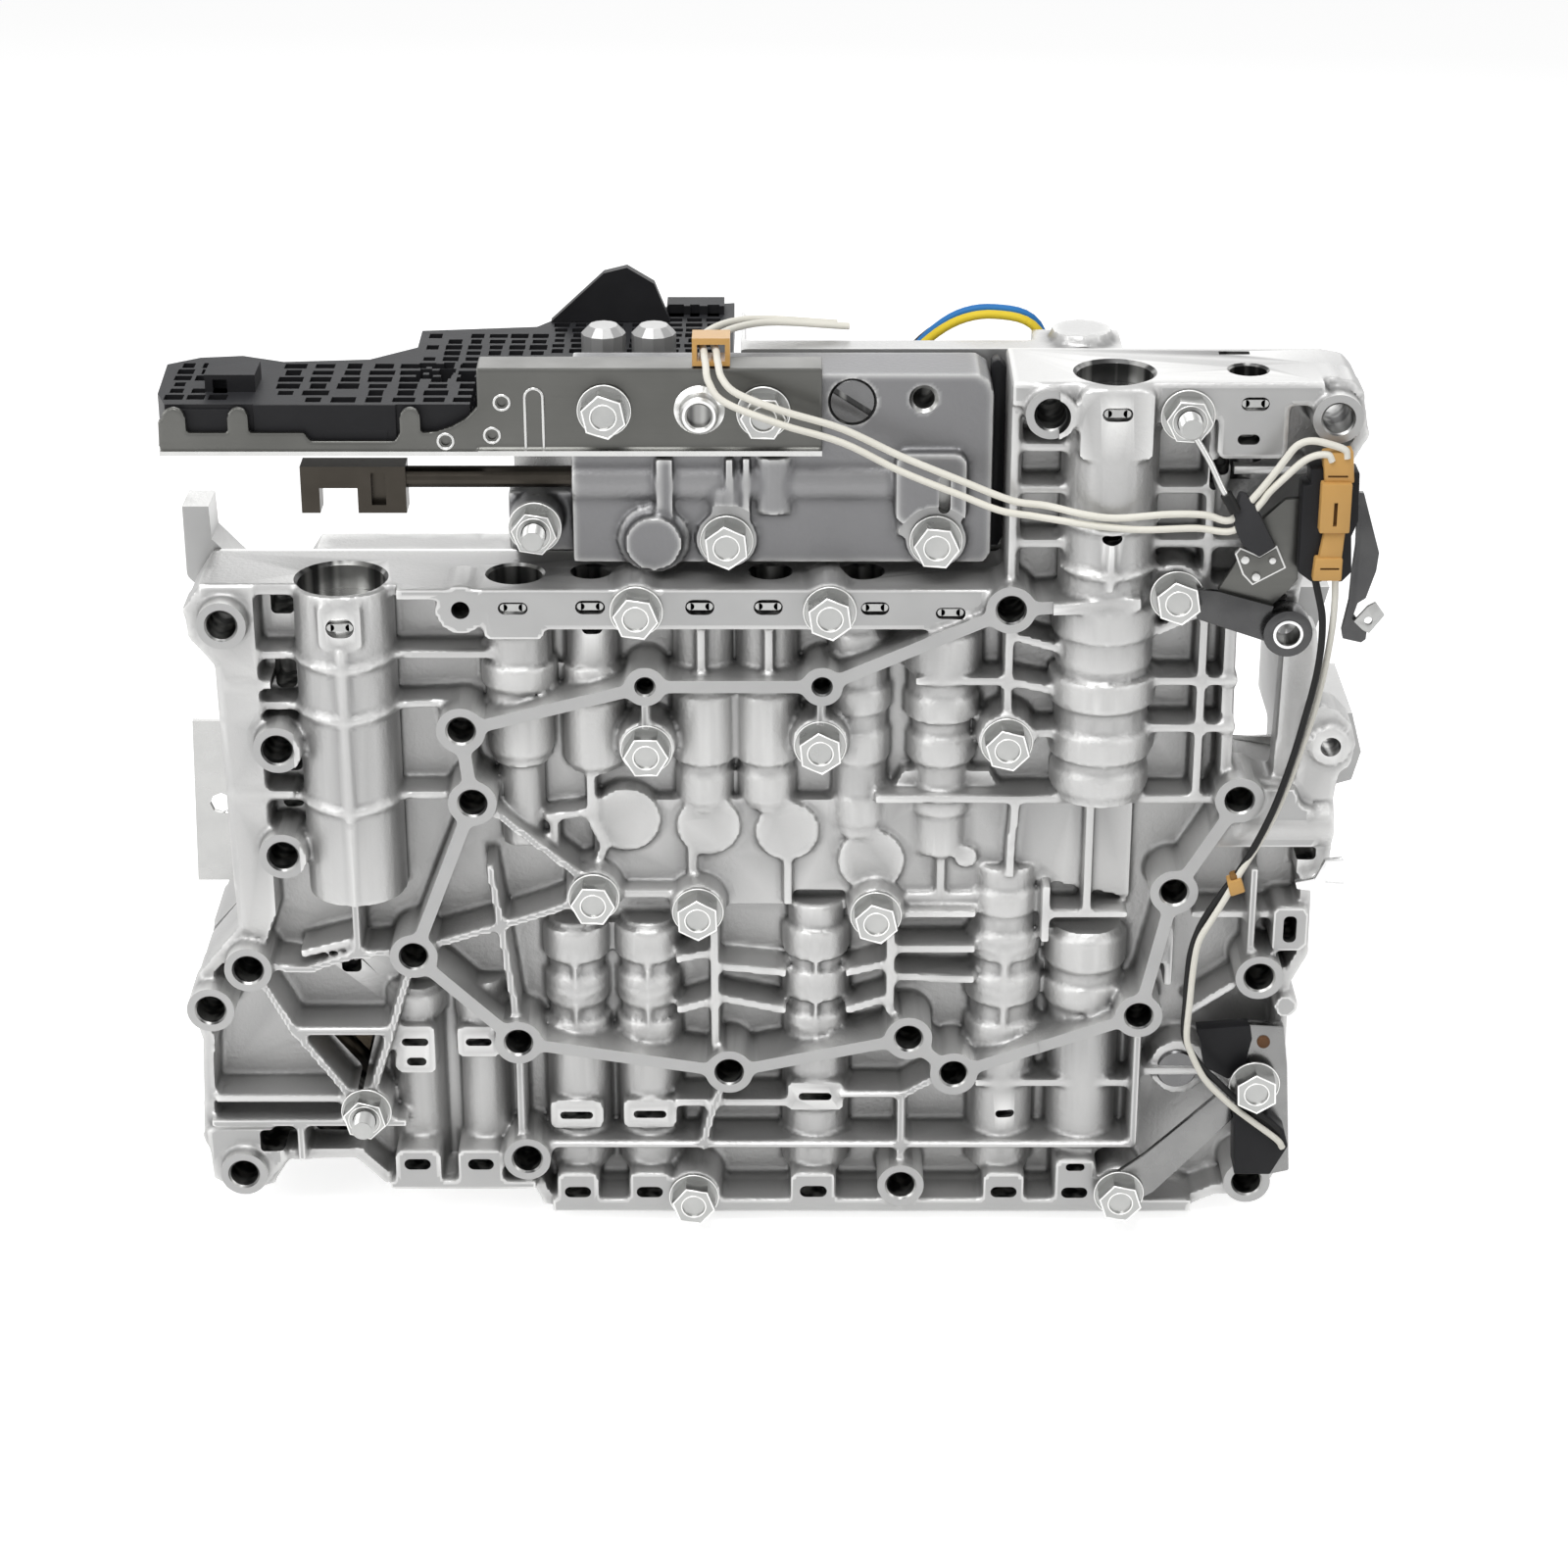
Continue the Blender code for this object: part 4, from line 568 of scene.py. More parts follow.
FRONT_OUTLINE = (
    (-141, TOP_FACE), (58.5, TOP_FACE), (58.5, COLUMN_TOP), (136, COLUMN_TOP), (141.5, 233.4), (144, 230.5),
    (146, 219.5), (141, 210), (134, 197), (131, 174), (116.5, 171), (117, 129.5), (133, 126.5), (139, 112),
    (139.5, 78), (135.2, 69), (135.2, 14), (131.5, 7.4), (126, 5.6), (119, 5.9), (112, 2.9), (-60.5, 2.9),
    (-63.5, 9.7), (-103, 9.7), (-110, 17), (-128, 16.7), (-132.5, 9.4), (-138, 7.6), (-144, 9.0),
    (-150.2, 23),
    (-148.6, 53), (-151.5, 63), (-148, 73), (-137.4, 86), (-138.7, 159), (-144.6, 166.5), (-145.6, 174),
)

# Upright valve humps: x, axis depth, then radius, low z, high z of each step
HUMPS = (
    (-106.0, 10.6, ((12.6, 95.5, 180.5),)),
    (-63.0, 13.4, ((8.3, 134.0, 172.0), (9.6, 152.5, 158.5), (7.4, 131.0, 136.0), (5.6, 108.0, 133.0))),
    (-44.5, 14.8, ((6.4, 128.0, 172.0), (7.6, 151.0, 157.0), (7.7, 130.0, 147.5))),
    (-16.6, 14.8, ((6.7, 118.0, 172.0), (7.6, 158.5, 171.0), (8.0, 131.0, 149.5), (7.3, 120.0, 127.5))),
    (-0.6, 14.8, ((6.7, 118.0, 172.0), (7.6, 158.5, 171.0), (8.0, 131.0, 149.5), (7.3, 120.0, 127.5))),
    (22.9, 14.8, ((6.8, 110.5, 172.0), (7.8, 158.0, 166.0), (7.8, 145.0, 151.0), (7.6, 131.0, 139.0),
                  (7.4, 114.0, 121.0))),
    (43.7, 14.8, ((8.6, 143.0, 172.0), (9.9, 156.0, 166.0), (9.4, 143.0, 149.0), (7.4, 105.0, 144.0),
                  (8.6, 131.0, 138.0), (8.4, 117.0, 123.0))),
    (83.7, 10.6, ((12.1, 174.0, 234.0), (13.3, 168.0, 176.0), (12.4, 160.0, 170.0), (13.6, 149.0, 157.0),
                  (11.8, 123.0, 161.0), (13.2, 135.0, 142.0), (12.6, 126.0, 131.0))),
    (-50.6, 14.8, ((8.2, 13.0, 50.0), (7.0, 51.0, 86.0), (8.4, 51.0, 57.0), (8.2, 62.0, 70.0),
                   (8.6, 75.0, 84.0))),
    (-31.7, 14.8, ((8.2, 13.0, 50.0), (7.0, 51.0, 86.0), (8.4, 51.0, 57.0), (8.2, 62.0, 70.0),
                   (8.6, 75.0, 84.0))),
    (12.0, 14.8, ((8.8, 13.0, 50.0), (7.2, 51.0, 91.0), (8.4, 53.0, 59.0), (8.8, 64.0, 72.0),
                  (8.8, 76.0, 84.0))),
    (61.0, 14.8, ((8.6, 13.0, 47.0), (8.4, 48.0, 102.0), (9.8, 50.0, 57.0), (9.8, 63.0, 71.0),
                  (9.6, 76.0, 83.0), (9.4, 89.0, 95.0))),
    (82.5, 14.8, ((9.2, 19.0, 61.0), (9.4, 60.0, 84.0), (10.6, 62.0, 68.0), (10.6, 73.0, 82.0))),
    (-93.0, 16.4, ((6.8, 13.0, 66.0), (7.8, 58.0, 64.0))),
    (-75.5, 14.8, ((6.2, 13.0, 68.0), (7.2, 57.0, 63.0))),
)

# Thin ribs round the front of humps: x, axis depth, radius, heights from the top down
COLLARS = (
    (83.7, 10.6, 12.6, (198.0, 186.0)),
    (-50.6, 14.8, 7.6, (79.5, 66.0, 54.0)), (-31.7, 14.8, 7.6, (79.5, 66.0, 54.0)),
    (12.0, 14.8, 7.8, (80.0, 68.0, 56.0)), (61.0, 14.8, 9.0, (79.5, 67.0, 53.5)),
)

# Ribs: depth of the front edge, then the points that the rib runs through
RIBS = (
    (7.0, (-94, 161.8), (-68, 161.8)), (6.5, (-94, 148.2), (-79, 148.6)), (6.5, (-94, 123.2), (-76, 123.2)),
    (6.5, (-126, 161.6), (-117, 161.6)), (6.5, (-126, 147.8), (-117, 147.8)),
    (6.5, (-126, 122.8), (-117, 122.8)),
    (4.0, (-17.1, 171), (-17.1, 158.5)), (4.0, (-0.2, 171), (-0.2, 158.5)),
    (8.0, (-57, 116), (-45.4, 117.6), (-45.4, 128)), (9.0, (-19.8, 107), (-19.8, 97)),
    (8.0, (-55, 115), (-55, 107), (-49, 100), (-45, 100.5), (-42.3, 107.9), (-45.4, 115.2)),
    (9.0, (4.6, 104), (4.6, 91)), (9.0, (44, 110), (44, 93)), (9.0, (33.6, 93), (54, 93)),
    (3.0, (-30.9, 152), (-30.9, 143)), (3.0, (13.2, 152), (12.9, 144)),
    (3.0, (-134.5, 76.6), (-120, 74.8), (-107, 79.2), (-91.6, 80.6)),
    (3.0, (-134.5, 76.6), (-124, 57), (-107.5, 33.7)), (3.0, (-125, 57), (-100.5, 57)),
    (3.0, (-91.6, 80.6), (-98.8, 57), (-106, 33.7)), (3.0, (-106.3, 96), (-106.3, 79)),
    (3.0, (-71.6, 105), (-69.2, 87.6), (-65.8, 60)),
    (3.0, (-86, 82.5), (-69.2, 87.6), (-56, 92), (-45, 96.5)), (3.0, (-71, 121), (-45, 99)),
    (3.0, (-65.4, 55), (-65.4, 22.8), (96, 22.8), (96, 55.5)), (4.0, (-24.5, 35.0), (4, 35.0)),
    (3.0, (-10.6, 46), (-15.0, 34), (-18, 22)), (3.0, (48.0, 46.1), (35.1, 38.0), (18, 38.0)),
    (3.0, (34.7, 38), (34.7, 14)), (6.0, (54, 40), (94, 40)), (4.0, (-14.2, 91), (-14.2, 52)),
    (4.0, (31.3, 90), (31.3, 62)), (5.0, (31.3, 90), (53, 90)), (5.0, (-45, 96), (-18.4, 96)),
    (5.0, (27, 122.7), (115.6, 122.7)), (5.0, (59.7, 138.5), (59.7, 172)),
    (5.0, (62.5, 122), (61.5, 106), (61.5, 101)), (5.0, (108.2, 173), (108.2, 124)),
    (5.0, (95, 155.2), (117, 155.2)), (5.0, (95, 142.4), (117, 142.4)), (4.0, (59.7, 176.4), (59.7, 229)),
    (5.0, (59, 206), (73, 206)), (5.0, (59, 192), (73, 192)), (5.0, (94, 206), (108, 206)),
    (5.0, (94, 192), (131, 192)), (5.0, (108.2, 230), (108.2, 172)), (5.0, (108, 211), (131, 211)),
    (3.0, (124, 104), (124, 80)), (3.0, (118.7, 124.8), (137, 120)), (4.0, (109, 62), (126, 74)),
    (5.0, (96, 44), (134, 44)), (4.0, (-146, 36.3), (-108, 36.3)), (3.0, (-147, 29.5), (-96, 29.5)),
    (5.0, (-24, 77), (-14.2, 79)), (5.0, (-24, 62), (-14.2, 65)), (5.0, (-14.2, 75), (4, 73)),
    (5.0, (-14.2, 66), (4, 62)), (5.0, (20, 73), (31.3, 76)), (5.0, (20, 62), (31.3, 66)),
    (5.0, (31.3, 80), (53, 80)), (5.0, (31.3, 72), (53, 71)), (5.0, (71, 98), (71, 82)),
    (5.0, (71, 90), (92, 90)), (5.0, (81.5, 123), (81.5, 90)), (5.0, (60, 167.5), (72, 164)),
    (5.0, (60, 155), (72, 152.5)), (5.0, (60, 141), (72, 141)), (5.0, (95, 168), (108, 174)),
    (5.0, (37, 155), (60, 155)), (5.0, (59, 217), (73, 217)), (5.0, (94, 180), (131, 180)),
    (4.0, (-121, 79), (-106.3, 83)), (5.0, (109, 90), (137, 90)), (3.0, (-124, 29.5), (-124, 18)),
    (4.0, (103.3, 98.9), (103.3, 70)), (5.0, (-136, 124), (-121, 124)), (5.0, (-136, 154), (-121, 154)),
)

POCKETS = (
    (-122.2, 173.4, 5.8, 8.4, 27.0), (-122.2, 154.6, 5.4, 10.6, 27.0), (-122.3, 128.4, 5.6, 4.6, 27.0),
    (-122.3, 119.0, 5.4, 6.2, 27.0), (-130.0, 23.8, 10.0, 6.5, 27.0), (-117.0, 23.8, 9.6, 6.5, 27.0),
    (-109.8, 70.5, 5.2, 5.2, 27.0), (133.9, 86.9, 3.4, 7.5, 26.0), (110.5, 210.0, 6.0, 8.0, 24.0),
)

# Retainer slots: x, z, width, height
SLOTS = (
    (-105.8, 172.4, 7.0, 5.2), (-63.3, 176.1, 7.4, 3.2), (-44.2, 176.4, 7.4, 3.6), (-44.2, 168.0, 5.2, 2.7),
    (-17.1, 176.4, 7.2, 4.0), (-0.2, 176.4, 7.2, 4.0), (26.2, 176.1, 7.0, 3.4), (44.9, 174.8, 7.4, 3.0),
    (84.0, 227.4, 7.4, 3.4), (117.3, 229.2, 6.8, 3.4), (116.1, 220.2, 5.4, 2.6), (83.8, 195.7, 5.0, 2.6),
    (-93.0, 52.3, 7.0, 2.2), (-92.8, 46.5, 5.2, 2.4), (-76.3, 52.3, 6.8, 2.2), (-93.4, 17.7, 7.0, 3.2),
    (-76.6, 17.7, 6.8, 3.2), (-51.1, 30.9, 8.7, 2.2), (-31.7, 31.2, 8.7, 2.2), (11.9, 36.8, 8.7, 2.2),
    (-51.1, 9.2, 7.0, 3.2), (-32.0, 9.2, 7.0, 3.2), (11.5, 9.4, 7.2, 3.4), (62.1, 9.2, 7.0, 3.2),
    (80.9, 9.0, 7.0, 3.2), (62.1, 30.6, 5.0, 2.2), (80.9, 16.8, 5.0, 2.2),
)

# Raised pads: x, z, width, height, depth of the face
PADS = (
    (-63.3, 174.0, 15.0, 13.0, STRIP), (-105.8, 172.5, 11.0, 12.0, -2.1), (84.0, 224.5, 18.0, 18.0, -1.0),
    (-93.0, 50.0, 11.0, 14.0, 6.0), (-76.3, 52.3, 12.0, 9.0, 6.0), (-51.1, 30.9, 14.2, 8.6, 5.0),
    (-31.7, 31.2, 14.2, 8.6, 5.0), (11.9, 36.8, 15.0, 9.0, 4.6), (-93.2, 16.5, 12.0, 11.0, STRIP),
    (-76.8, 16.5, 12.0, 11.0, STRIP), (-51.1, 10.0, 11.0, 10.0, STRIP), (-32.0, 10.0, 11.0, 10.0, STRIP),
    (11.5, 10.0, 12.0, 10.0, STRIP), (62.1, 10.0, 11.0, 10.0, STRIP), (80.9, 12.0, 11.0, 14.0, STRIP),
    (133.9, 86.9, 9.0, 13.0, 3.0), (117.2, 224.5, 17.0, 19.0, 1.6),
)

# Flange bolts in the front: x, z, depth of the seat
FRONT_BOLTS = (
    (-32.8, 175.6, STRIP), (15.0, 175.6, STRIP), (-30.9, 137.5, 4.0), (12.8, 138.6, 4.0), (59.7, 139.4, 4.0),
    (-45.0, 96.5, 3.0), (-18.4, 92.4, 3.0), (27.3, 91.4, 3.0), (-20.2, 8.4, STRIP),
)
STUD_SEATS = ((101.1, 226.5, 1.6), (-106.2, 33.7, 3.0))
DISCS = ((-36.6, 115.1, 8.8), (-15.6, 113.4, 8.2), (4.5, 111.8, 8.2), (26.1, 103.4, 8.6))


def floor_and_rim(casting):
    """The casting's floor and the rim round its outline."""
    casting.prism(FRONT_OUTLINE, FLOOR, BACK)
    middle = inset(FRONT_OUTLINE, 1.6)
    for first, last in zip(middle, middle[1:] + middle[:1]):
        casting.wall(first, last, 3.2, RIM, FLOOR + 1, 1.4)


def collar(casting, x, axis, radius, z, drop, thick, beyond=0.0):
    """A raised rib round the front of an upright hump, a little lower in the middle."""
    for side in (-1, 1):
        run = []
        for share in (0.0, 0.3, 0.56, 0.8, 0.94):
            depth = axis - radius * math.sqrt(1 - share * share) - 0.2
            run.append((x + side * radius * share, depth, z - drop * (0.5 - share)))
        if beyond:
            run.append((x + side * (radius + beyond), axis - 2.5, z + drop * 0.5))
        for first, last in zip(run, run[1:]):
            casting.bar(first, last, thick, 10)


def humps(casting):
    """The stepped upright humps in front of the bores, with their collars."""
    for x, depth, steps in HUMPS:
        for radius, low, high in steps:
            casting.upright(x, depth, low, high, radius)
    for z in (161.5, 147.6, 122.6):
        collar(casting, -106.0, 10.6, 12.6, z, 1.2, 1.15, 3.5)
    casting.bar((-105.9, -2.1, 166.0), (-105.9, -2.1, 120.0), 1.2, 12)
    casting.bar((-105.9, -2.0, 121.0), (-105.9, -2.0, 95.5), 0.7, 12)
    for x, axis, radius, heights in COLLARS:
        for z in heights:
            collar(casting, x, axis, radius, z, 1.0, 0.9)
        casting.bar((x, axis - radius - 0.3, heights[0]), (x, axis - radius - 0.3, heights[-1] - 4), 0.8, 10)


def bosses(casting):
    """Bosses for screws and pins, and the machined ridge that joins them."""
    back = FLOOR + 1
    for x, z in CASE_BOSSES + RIDGE_BOSSES:
        casting.drill(x, z, RIDGE_FACE, back, 6.2)
    for x, z in RIDGE_PINS:
        casting.drill(x, z, RIDGE_FACE, back, 5.2)
    for chain in RIDGE:
        casting.walls(chain, 3.3, RIDGE_FACE, back)
    casting.walls((RIDGE_BOSSES[5], RIDGE_BOSSES[6]), 3.3, RIDGE_FACE, back)
    for x, z, seat in FRONT_BOLTS:
        casting.drill(x, z, seat, back, 7.1, back_radius=7.8)
    for x, z, seat in STUD_SEATS:
        casting.drill(x, z, seat, back, 6.6)
    casting.drill(-76.3, 175.6, STRIP, back, 6.4)
    casting.drill(126.6, 43.6, 4.0, back, 6.6)
    casting.drill(100.4, 180.0, 4.0, back, 7.0)
    casting.drill(92.4, 10.6, STRIP, back, 6.2)
    casting.drill(134.2, 64.4, 3.0, back, 3.2)
    casting.drill(107.6, 44.5, 7.0, back, 8.0)
    for x, z in ((94.6, 137.2), (50.5, 104.4)):
        casting.drill(x, z, 9.0, back, 3.0)


def panels(casting):
    """Raised panels, the discs in the middle floor and the right-hand shapes."""
    back = FLOOR + 1
    casting.prism(((-45, 120), (-45, 100), (-41, 95.5), (-20, 95.5), (-14, 90), (3, 90), (6, 94), (54, 93),
                   (58, 100), (93, 92), (93, 121), (60, 121), (56, 128), (34, 128), (30, 120), (-40, 120)),
                  PANEL, back)
    for x, z, radius in DISCS:
        casting.drill(x, z, PANEL - 2.0, back, radius, 36)
    casting.prism(((-141, 180.5), (-128, 180.5), (-127, 90), (-130, 82), (-136, 86), (-137, 160),
                   (-142, 167)),
                  RIM - 0.6, back)
    casting.prism(((-149, 27), (-148, 12), (-143, 9), (-135, 9), (-128, 18), (-132, 28)), 4.0, back)
    casting.prism(((117, 126.5), (133, 126.5), (139, 112), (139, 110), (111, 110), (113, 120)), 3.0, back)
    casting.prism(((128.8, 168.7), (136.6, 168.7), (138.4, 155.5), (138.2, 143.4), (137.2, 126),
                   (127.7, 126)),
                  8.0, back)
    casting.prism(((135.9, 147.2), (139.1, 148.3), (143.1, 147), (146.8, 142.9), (148.1, 137.5), (147, 131.6),
                   (144.2, 129.4), (143.4, 122), (132.3, 122)), 6.0, back)
    casting.drill(141.5, 137.5, 4.6, back, 5.2)
    casting.bar((119, 9, 115.2), (143.6, 9, 115.2), 6.6)
    casting.prism(((135, 109.2), (143.6, 109.2), (143.6, 101.2), (135, 101.2)), 6.0, back)


def strips(casting):
    """The level strips along the top and bottom edges."""
    back = FLOOR + 1
    casting.prism(((-92, TOP_FACE), (-92, 178.4), (-70, 178.4), (-56, 170.4), (50, 170.4), (52, 174),
                   (58.4, 174), (58.4, TOP_FACE)), STRIP, back)
    casting.box((-58, STRIP, 2.9), (112, back, 7.0))
    casting.box((-101, STRIP, 9.7), (-62, back, 12.6))
    casting.box((58.5, 1.6, COLUMN_TOP - 6.0), (134, back, COLUMN_TOP))
    casting.box((-56, BACK - 17.5, 0.0), (110, BACK, 7.5))


def hole(cutter, x, z, front, back, radius, chamfer=0.5):
    """A drilled hole with a small chamfer at its mouth."""
    profile = ((0, radius + chamfer + 0.6), (-front, radius + chamfer),
               (chamfer - front, radius), (back - front, radius))
    cutter.lathe((x, front, z), (x, back, z), profile, 28)


def front_holes():
    """Everything that is drilled or cut out of the front casting."""
    cutter = Solid(2)
    for x, z in CASE_BOSSES:
        hole(cutter, x, z, CUT_FROM, BACK + 1, CASE_HOLE)
    for x, z in RIDGE_BOSSES:
        hole(cutter, x, z, CUT_FROM, BLIND_END, BLIND_HOLE)
    for x, z in RIDGE_PINS:
        hole(cutter, x, z, CUT_FROM, BLIND_END, 2.2)
    cutter.drill(-76.3, 175.6, -3, 24, 2.3)
    cutter.drill(-109.4, 73.5, -3, 24, 2.4)
    cutter.drill(141.5, 137.5, -3, BACK, 2.6)
    cutter.rounded(129.8, 107.3, 20.0, 3.8, -5.0, 14.0, 1.2)
    for x, z, width, height in SLOTS:
        cutter.rounded(x, z, width, height, -5.0, STRIP + 9.0, height / 2)
    for x, z, width, height, reach in POCKETS:
        cutter.rounded(x, z, width, height, -5.0, reach, 1.4)
    cutter.prism(((-119.0, 53.6), (-103.4, 53.6), (-107.2, 38.5)), -5, BACK + 1)
    cutter.bar((126, 10, 111.9), (150, 10, 111.9), 4.5)
    return cutter.object("front_holes", (CAST, MACHINED, SHADED_BORE))


def front_bores():
    """The valve bores that open in the top faces, with a step at the mouth."""
    cutter = Solid(2)
    for x, depth, low, high, radius, lip in (
            (-106.4, 10.6, 99.0, TOP_FACE, 10.9, 0.9), (84.0, 10.6, 127.0, COLUMN_TOP, 9.3, 0.9),
            (-63.3, 13.4, 137.0, TOP_FACE, 6.8, 0.7), (-44.5, 14.8, 158.0, TOP_FACE, 4.6, 0.6),
            (0.3, 14.8, 158.0, TOP_FACE, 5.0, 0.6), (23.3, 14.8, 158.0, TOP_FACE, 5.0, 0.6),
            (116.5, 12.2, 205.0, COLUMN_TOP, 4.6, 0.6)):
        depth_of_bore = high - low
        profile = ((0, radius), (depth_of_bore - lip, radius), (depth_of_bore, radius + lip),
                   (depth_of_bore + 5, radius + lip + 0.4))
        cutter.lathe((x, depth, low), (x, depth, high + 5), profile, 40)
    cutter.rounded(-101.0, TOP_FACE, 7.4, 4.0, BACK - 1.0, BACK + 1, 1.0)
    cutter.rounded(-85.0, TOP_FACE, 3.8, 4.0, BACK - 1.0, BACK + 1, 1.0)
    cutter.rounded(114.5, COLUMN_TOP, 7.6, 6.0, BACK - 6.0, BACK - 3.5, 1.0)
    return cutter.object("front_bores", (CAST, MACHINED, SHADED_BORE))


def front_planes():
    """What milling takes off in front of the ridge, round the two humps that stand proud of it."""
    cutter = Solid(1)
    proud = ((-119.0, -95.5, 92.0, 190.0), (70.0, 97.5, 122.0, 240.0))
    edges = [-160.0] + [edge for span in proud for edge in span[:2]] + [160.0]
    for left, right in zip(edges, edges[1:]):
        span = [(low, high) for first, last, low, high in proud if left >= first and right <= last]
        if not span:
            cutter.box((left, -6, -10), (right, 0, 250))
            continue
        low, high = span[0]
        cutter.box((left, -6, -10), (right, 0, low))
        cutter.box((left, -6, high), (right, 0, 250))
    return cutter.object("front_planes", (CAST, MACHINED, SHADED_BORE))


def mark_machined(piece, planes, square=0.995):
    """Gives the flat front faces at the named depths the milled finish."""
    for face in piece.data.polygons:
        if face.material_index or face.normal.y > -square:
            continue
        depth = face.center.y / MM + MIDDLE_DEPTH
        if min(abs(depth - plane) for plane in planes) < 0.08:
            face.material_index = 1


def front_casting():
    """The front casting, cut, smoothed and finished."""
    casting = Solid(0)
    floor_and_rim(casting)
    humps(casting)
    bosses(casting)
    panels(casting)
    strips(casting)
    for x, z, width, height, face in PADS:
        casting.rounded(x, z, width, height, face, FLOOR + 1, 2.0)
    for face, *points in RIBS:
        casting.walls(points, 2.3, face, FLOOR + 1)
    piece = casting.object("front_casting")
    cast_skin(piece, 0.8, 3, 170000)
    piece.data.materials.clear()
    for finish in (CAST, MACHINED, SHADED_BORE):
        piece.data.materials.append(finish)
    cut(piece, front_planes())
    cut(piece, front_holes())
    cut(piece, front_bores())
    mark_machined(piece, (STRIP, 1.6, 3.0, 4.0))
    piece.data.validate()
    mark_edges(piece)
    smooth_edges(piece)
    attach(piece, "castings")
    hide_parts("front_body")
    return piece


front_casting()


# The rear casting and the manual valve's casting.

def copy_of(node, name):
    """A copy of a CAD node's mesh with its loose triangles joined."""
    shape = bmesh.new()
    shape.from_mesh(frame["nodes"][node].data)
    bmesh.ops.remove_doubles(shape, verts=shape.verts, dist=0.000002)
    mesh = bpy.data.meshes.new(name)
    shape.to_mesh(mesh)
    shape.free()
    made = bpy.data.objects.new(name, mesh)
    bpy.context.scene.collection.objects.link(made)
    return made


def rear_casting():
    """The rear casting from its solid, with soft cast edges and milled joint faces."""
    piece = copy_of("rear_body", "rear_casting")
    low = min(vert.co.y for vert in piece.data.vertices)
    high = max(vert.co.y for vert in piece.data.vertices)
    for vert in piece.data.vertices:
        if abs(vert.co.y - low) < 0.00001:
            vert.co.y -= 0.0015
        if abs(vert.co.y - high) < 0.00001:
            vert.co.y += 0.0015
    cast_skin(piece, 1.0, 3, 120000)
    piece.data.materials.clear()
    for finish in (CAST, MACHINED, SHADED_BORE):
        piece.data.materials.append(finish)
    cutter = Solid(1)
    cutter.box((-170, low / MM + MIDDLE_DEPTH - 5, -10), (170, low / MM + MIDDLE_DEPTH, 250))
    cut(piece, cutter.object("rear_front_plane", (CAST, MACHINED, SHADED_BORE)))
    cutter = Solid(1)
    cutter.box((-170, high / MM + MIDDLE_DEPTH, -10), (170, high / MM + MIDDLE_DEPTH + 5, 250))
    cut(piece, cutter.object("rear_back_plane", (CAST, MACHINED, SHADED_BORE)))
    front = low / MM + MIDDLE_DEPTH
    cutter = Solid(0)
    cutter.prism(((-160, 191.8), (-141.8, 191.8), (-141.5, 183), (-134.3, 175.2), (-118, 175.2), (-115, 180),
                  (-115, 240), (-160, 240)), front - 5, front + 80)
    cut(piece, cutter.object("rear_horn_outline", (CAST, MACHINED, SHADED_BORE)))
    cutter = Solid(0)
    cutter.box((-160, front + 12.2, 166), (-66, front + 80, 240))
    cut(piece, cutter.object("rear_step_outline", (CAST, MACHINED, SHADED_BORE)))
    mark_edges(piece)
    smooth_edges(piece)
    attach(piece, "castings")
    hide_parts("rear_body")


rear_casting()


# Manual valve casting
MANUAL_FACE = 12.0
MANUAL_BASE = 184.3
MANUAL_TOP = 233.3
MANUAL_AXIS = (17.0, 205.3)
BRACKET_BOLTS = ((-40.1, 225.0), (-1.3, 224.6))
BRACKET_NUT = (-16.9, 225.2)
MANUAL_BOLTS = ((-10.5, 191.0), (41.3, 191.0))
MANUAL_STUD = (-57.9, 194.0)
MANUAL_PLUG = (20.4, 226.3)


